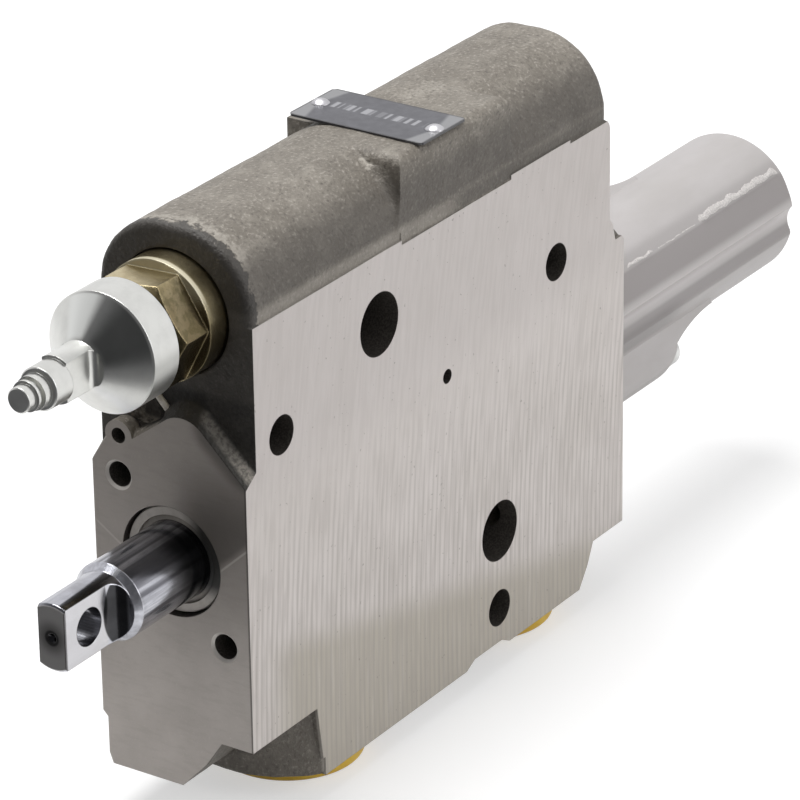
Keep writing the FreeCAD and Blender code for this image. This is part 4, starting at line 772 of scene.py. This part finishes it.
def flash_ridge(x0, x1, width, height, seed):
    """The skin of broken flash along the parting line: a low ragged ribbon sunk a little into the cap."""
    rough = random.Random(seed)
    skin = bmesh.new()
    rows = []
    steps = int((x1 - x0) / FLASH_STEP)
    for i in range(steps + 1):
        x = x0 + (x1 - x0) * i / steps
        ends = min(i, steps - i, FLASH_TAPER_STEPS) / FLASH_TAPER_STEPS
        wander = FLASH_WANDER * noise.noise(Vector((x * WANDER_WAVES, seed, 0)))
        swell = 1.0 + FLASH_SWELL * noise.noise(Vector((x * SWELL_WAVES, 0, seed)))
        wide = width * swell * (0.35 + 0.65 * ends) * rough.uniform(0.9, 1.08)
        tall = height * ends * rough.uniform(0.6, 1.05)
        row = []
        for side, lift in FLASH_PROFILE:
            turn = PARTING_ANGLE + (wander + side * wide) / CAP_RADIUS
            reach = CAP_RADIUS - FLASH_SINK + tall * lift
            row.append(skin.verts.new(Vector((x, reach * math.cos(turn), reach * math.sin(turn))) * MM))
        rows.append(row)
    join_rows(skin, rows, ring=False)
    return skin


def flash_finish():
    """Torn alloy: brighter and rougher than the skin beside it."""
    material, tree, shader, place = start_finish("torn_alloy", 0.6, 0.2)
    tears = grain(tree, place, 0.5, 3.0)
    tone = mixed(tree, band(tree, tears, 0.35, 0.7), srgb(186, 182, 180), srgb(212, 208, 205))
    tree.links.new(tone, shader.inputs["Base Color"])
    rough_up(tree, shader, (tears, 0.1))
    return material


torn_alloy = flash_finish()
for name, x0, x1, width, height, seed in FLASHES:
    ridge = new_piece(name)
    skin = flash_ridge(x0, x1, width, height, seed)
    skin.to_mesh(ridge.data)
    skin.free()
    ridge.data.materials.append(torn_alloy)
    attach(ridge, "body")

# Screws
# Two long socket-head screws hold the cap, and one goes through the sleeve into the spool's tail.
# They are bright zinc plated steel.
dress(drawn_finish("bright_zinc", srgb(226, 226, 224), srgb(200, 200, 198), 0.28), "cap_screws", "spool_bolt")

# Spindle plug
# Turned from hexagon bar, with a round flange against the body; yellow passivated zinc.
# The passivation is uneven and shifts from straw to greenish brown.


def yellow_zinc_finish():
    """Yellow zinc: straw with brown stains, darker on the near flats and low on the near side, with the flange's rim
    in the light.
    """
    material, tree, shader, place = start_finish("yellow_zinc", 0.27, 1.0)
    at = axes(tree, place)
    shift = grain(tree, place, 6.0, 3.0)
    stain = grain(tree, place, 2.0, 4.0)
    tone = mixed(tree, band(tree, shift, 0.35, 0.7), srgb(206, 193, 157), srgb(186, 171, 133))
    tone = stain_and_painted_light(tree, tone, band(tree, stain, 0.5, 0.8), 0.5, srgb(170, 152, 116))
    near_flats_dark = patch(tree, at, y=(-3.5, -10.5), z=(83.0, 79.0), x=(-1.5, -3.0))
    tone = stain_and_painted_light(tree, tone, near_flats_dark, 0.72, srgb(92, 78, 56))
    dull = meeting(tree, patch(tree, at, y=(-6.0, -9.0), x=(-2.4, -3.0)), band(tree, stain, 0.42, 0.58))
    tone = stain_and_painted_light(tree, tone, dull, 0.55, srgb(96, 90, 62))
    # Darker low on the near side.
    lower = patch(tree, at, z=(74.0, 60.0), x=(-13.0, -11.0), y=(-9.0, -11.5))
    tone = stain_and_painted_light(tree, tone, lower, 0.72, srgb(84, 74, 50))
    lit = patch(tree, at, x=(-2.6, -2.2, -1.4, -0.4), z=(70.5, 77.5))
    tone = stain_and_painted_light(tree, tone, lit, 0.9, srgb(226, 219, 194))
    tree.links.new(tone, shader.inputs["Base Color"])
    tree.links.new(sums(tree, "SUBTRACT", 1.0, share(tree, lit, 0.75)), shader.inputs["Metallic"])
    rough_up(tree, shader, (grain(tree, place, 0.7, 3.0), 0.012), edge_mm=0.6)
    return material


dress(yellow_zinc_finish(), "spindle_plug")

# Flow spindle
# Turned spindle with a broad coned head, wrench flats and a grooved stem for the knob; bright zinc.
# The tool's rings show on the cone and stretch its highlights; a painted highlight wedge and a painted shade wedge
# are added to its colour.
RING_PITCH = 1.0 / 3.5
CONE = dict(x=(-24.9, -25.3), reach=(5.5, 7.5))
# Each painted wedge on the cone, first the shade and then the highlight: where it points, and how near to that
# direction it starts and is full.
WEDGES = (((0.0, -0.80, 0.60), 0.74, 0.97), ((0.0, 0.26, 0.966), 0.90, 0.99))


def turned_finish():
    """Turned zinc-plated steel: fine rings, a painted reflection as a grey zone on the rim, and a painted shade wedge
    and a painted highlight wedge on the cone.
    """
    material, tree, shader, place = start_finish("turned_zinc", 0.3, 1.0)
    shader.inputs["Anisotropic"].default_value = 0.6
    around = put(tree, "Tangent", direction_type="RADIAL", axis="X")
    tree.links.new(around.outputs[0], shader.inputs["Tangent"])
    at = axes(tree, place)
    axis_point = (0.0, 0.0, UPPER_AXIS_Z * MM)
    from_axis = put(tree, "VectorMath", {0: place, 1: axis_point}, operation="SUBTRACT").outputs[0]
    at["reach"] = distance(tree, place, (0.0, 0.0, UPPER_AXIS_Z), (0.0, 1.0, 1.0))
    along = put(tree, "CombineXYZ", {0: at["reach"], 1: at["x"]}).outputs[0]
    rings = put(tree, "TexNoise", {"Vector": along, "Scale": 1.0 / (RING_PITCH * MM), "Detail": 2.0}).outputs["Fac"]
    smear = grain(tree, place, 5.0, 3.0)
    tone = mixed(tree, band(tree, smear, 0.35, 0.7), srgb(222, 222, 218), srgb(214, 214, 210))
    # Painted reflection: a grey band on the near side of the rim.
    grey = patch(tree, at, z=(54.5, 59.0, 65.0, 70.0), x=(-25.2, -24.7), y=(-10.5, -13.5))
    tone = stain_and_painted_light(tree, tone, grey, 0.5, srgb(136, 136, 132))
    cone = patch(tree, at, **CONE)
    wedges = []
    for aim, low, high in WEDGES:
        turned = put(tree, "VectorMath", {0: from_axis, 1: aim}, operation="DOT_PRODUCT").outputs["Value"]
        wedges.append(meeting(tree, cone, band(tree, sums(tree, "DIVIDE", turned, at["reach"]), low, high)))
    # The first wedge is painted shade, the second a painted highlight.
    dark, light = wedges
    tone = stain_and_painted_light(tree, tone, dark, 0.68, srgb(62, 64, 63))
    tone = mixed(tree, light, tone, srgb(236, 237, 234))
    tree.links.new(tone, shader.inputs["Base Color"])
    tree.links.new(sums(tree, "SUBTRACT", 1.0, share(tree, light, 0.55)), shader.inputs["Metallic"])
    rough_up(tree, shader, (rings, 0.008), edge_mm=0.25)
    return material


dress(turned_finish(), "flow_spindle")

# Nameplate and rivets
# Thin aluminium plate, printed dark grey with a row of plain light blocks, and painted highlights at both ends.
# Two drive rivets hold it on its cast pad.
PLATE_X = 90.7
PLATE_Y = -2.75
BLOCK_ROW_X = 1.0
BLOCK_LENGTH = 1.0 / 0.42


def plate_finish():
    """Printed plate: dark grey, a row of light blocks, painted highlights at both ends and a dark cut rim."""
    material, tree, shader, place = start_finish("printed_plate", 0.36, 0.35)
    at = axes(tree, place)
    x = sums(tree, "SUBTRACT", at["x"], PLATE_X * MM)
    y = sums(tree, "SUBTRACT", at["y"], PLATE_Y * MM)
    at["along"] = sums(tree, "ABSOLUTE", y, 0.0)
    at["across"] = sums(tree, "ABSOLUTE", x, 0.0)
    at["corner"] = sums(tree, "ADD", at["along"], share(tree, at["across"], 0.25))
    at["off_row"] = sums(tree, "ABSOLUTE", sums(tree, "SUBTRACT", x, BLOCK_ROW_X * MM), 0.0)
    smear = grain(tree, place, 3.0, 4.0)
    tone = mixed(tree, band(tree, smear, 0.3, 0.75), srgb(80, 80, 85), srgb(93, 93, 98))
    line = put(tree, "CombineXYZ", {0: y}).outputs[0]
    blocks = put(tree, "TexNoise", {"Vector": line, "Scale": 1.0 / (BLOCK_LENGTH * MM), "Detail": 1.0}).outputs["Fac"]
    row = meeting(tree, patch(tree, at, off_row=(2.1, 1.6), along=(15.0, 13.5)), band(tree, blocks, 0.46, 0.56))
    tone = stain_and_painted_light(tree, tone, row, 0.8, srgb(166, 166, 170))
    # Painted highlights at both ends.
    tone = mixed(tree, patch(tree, at, corner=(17.2, 18.6)), tone, srgb(136, 136, 138))
    rim = sums(tree, "MAXIMUM", patch(tree, at, along=(19.8, 20.2)), patch(tree, at, across=(9.8, 10.2)))
    tone = stain_and_painted_light(tree, tone, rim, 0.75, srgb(52, 51, 52))
    tree.links.new(tone, shader.inputs["Base Color"])
    rough_up(tree, shader, (smear, 0.04), edge_mm=0.15)
    return material


dress(plate_finish(), "nameplate")
dress(drawn_finish("rivet_metal", srgb(200, 199, 202), srgb(178, 177, 180), 0.36), "nameplate_rivets")

# Port plugs
# Two moulded yellow polyethylene plugs close the work ports for shipping.
# Soft plastic with a waxy gloss, slightly let through by light.


def plastic_finish():
    """Waxy yellow plastic that light enters a little."""
    material, tree, shader, place = start_finish("yellow_plastic", 0.38)
    shader.inputs["Subsurface Weight"].default_value = 0.15
    shader.inputs["Subsurface Radius"].default_value = (3.0 * MM, 1.8 * MM, 0.4 * MM)
    flow = grain(tree, place, 8.0, 2.0)
    tone = mixed(tree, band(tree, flow, 0.3, 0.7), srgb(232, 194, 70), srgb(222, 180, 54))
    tree.links.new(tone, shader.inputs["Base Color"])
    rough_up(tree, shader, (grain(tree, place, 0.9), 0.02), edge_mm=0.3)
    return material


dress(plastic_finish(), "port_plug_front", "port_plug_rear")

# Floor and light
# A white studio floor that keeps a soft shadow, in a pale room that is dark only where the lever end looks.
# A broad key light falls on the milled side and a stronger one from above.
FLOOR_Z = -75.0
FLOOR_LEFT = -90.0
FLOOR_FRONT = -500.0
FLOOR_FAR = 3000.0


def floor_finish():
    """Matt white floor that glows a little where the camera or a mirror sees it."""
    material, tree, shader, place = start_finish("studio_floor", 0.9)
    tone = mixed(tree, band(tree, grain(tree, place, 900.0), 0.3, 0.7), (0.58, 0.58, 0.58, 1), (0.60, 0.60, 0.60, 1))
    tree.links.new(tone, shader.inputs["Base Color"])
    rays = put(tree, "LightPath").outputs
    seen = sums(tree, "MAXIMUM", rays["Is Camera Ray"], share(tree, rays["Is Glossy Ray"], 0.7))
    shader.inputs["Emission Color"].default_value = (1, 1, 1, 1)
    tree.links.new(share(tree, seen, 0.5), shader.inputs["Emission Strength"])
    return material


floor = new_piece("studio_floor")
corners = ((FLOOR_LEFT, FLOOR_FRONT), (FLOOR_FAR, FLOOR_FRONT), (FLOOR_FAR, FLOOR_FAR), (FLOOR_LEFT, FLOOR_FAR))
floor.data.from_pydata([(x * MM, y * MM, 0) for x, y in corners], [], [(0, 1, 2, 3)])
floor.data.materials.append(floor_finish())
floor.location.z = FLOOR_Z * MM


def soft_light(name, place, target, size, watts):
    """A round soft light aimed at a point; all in metres and watts."""
    lamp = bpy.data.lights.new(name, "AREA")
    lamp.shape = "DISK"
    lamp.size = size
    lamp.energy = watts
    holder = bpy.data.objects.new(name, lamp)
    holder.location = place
    holder.rotation_euler = (Vector(target) - Vector(place)).to_track_quat("-Z", "Y").to_euler()
    bpy.context.scene.collection.objects.link(holder)


soft_light("key_light", (0.45, -1.5, 0.75), (0.1, 0, 0), 1.0, 8)
soft_light("top_light", (0.1, 0.35, 1.5), (0.1, 0, 0), 1.0, 21)

DARK_SIDE = (-1.0, 0.0, 0.05)
world = bpy.data.worlds.new("studio")
bpy.context.scene.world = world
world.use_nodes = True
sky = world.node_tree
background = sky.nodes["Background"]
facing = put(sky, "TexCoord").outputs["Generated"]
toward_dark = put(sky, "VectorMath", {0: facing, 1: DARK_SIDE}, operation="DOT_PRODUCT").outputs["Value"]
rays = put(sky, "LightPath")
bright_side = band(sky, toward_dark, 0.50, 0.0)
soft = mixed(sky, bright_side, (0.38, 0.38, 0.38, 1), (0.40, 0.40, 0.405, 1))
mirrored = mixed(sky, bright_side, (0.10, 0.101, 0.106, 1), (0.95, 0.95, 0.96, 1))
shade = mixed(sky, rays.outputs["Is Glossy Ray"], soft, mirrored)
sky.links.new(mixed(sky, rays.outputs["Is Camera Ray"], shade, (1, 1, 1, 1)), background.inputs["Color"])
bpy.context.scene.view_settings.view_transform = "Standard"

# Camera
# A long lens, looking down on the lever end and the milled side from well over a metre away.
# Its place follows from the target, the distance and three angles.
CAMERA_TARGET = Vector((103.307, 0.0, 4.122))
CAMERA_DISTANCE = 1295.568
CAMERA_AZIMUTH = math.radians(-56.111)
CAMERA_ELEVATION = math.radians(24.582)
CAMERA_ROLL = math.radians(-0.854)
LENS_MM = 219.987
SENSOR_MM = 36.0
FARTHEST = 20.0
back = Vector((math.sin(CAMERA_AZIMUTH) * math.cos(CAMERA_ELEVATION),
               -math.cos(CAMERA_AZIMUTH) * math.cos(CAMERA_ELEVATION), math.sin(CAMERA_ELEVATION)))
level = Vector((math.cos(CAMERA_AZIMUTH), math.sin(CAMERA_AZIMUTH), 0.0))
upright = back.cross(level)
right = math.cos(CAMERA_ROLL) * level + math.sin(CAMERA_ROLL) * upright
up = math.cos(CAMERA_ROLL) * upright - math.sin(CAMERA_ROLL) * level
camera_data = bpy.data.cameras.new("camera")
camera_data.lens = LENS_MM
camera_data.sensor_width = SENSOR_MM
camera_data.clip_end = FARTHEST
camera = bpy.data.objects.new("camera", camera_data)
place = (CAMERA_TARGET + back * CAMERA_DISTANCE) * MM
camera.matrix_world = Matrix.Translation(place) @ Matrix((right, up, back)).transposed().to_4x4()
bpy.context.scene.collection.objects.link(camera)
bpy.context.scene.camera = camera
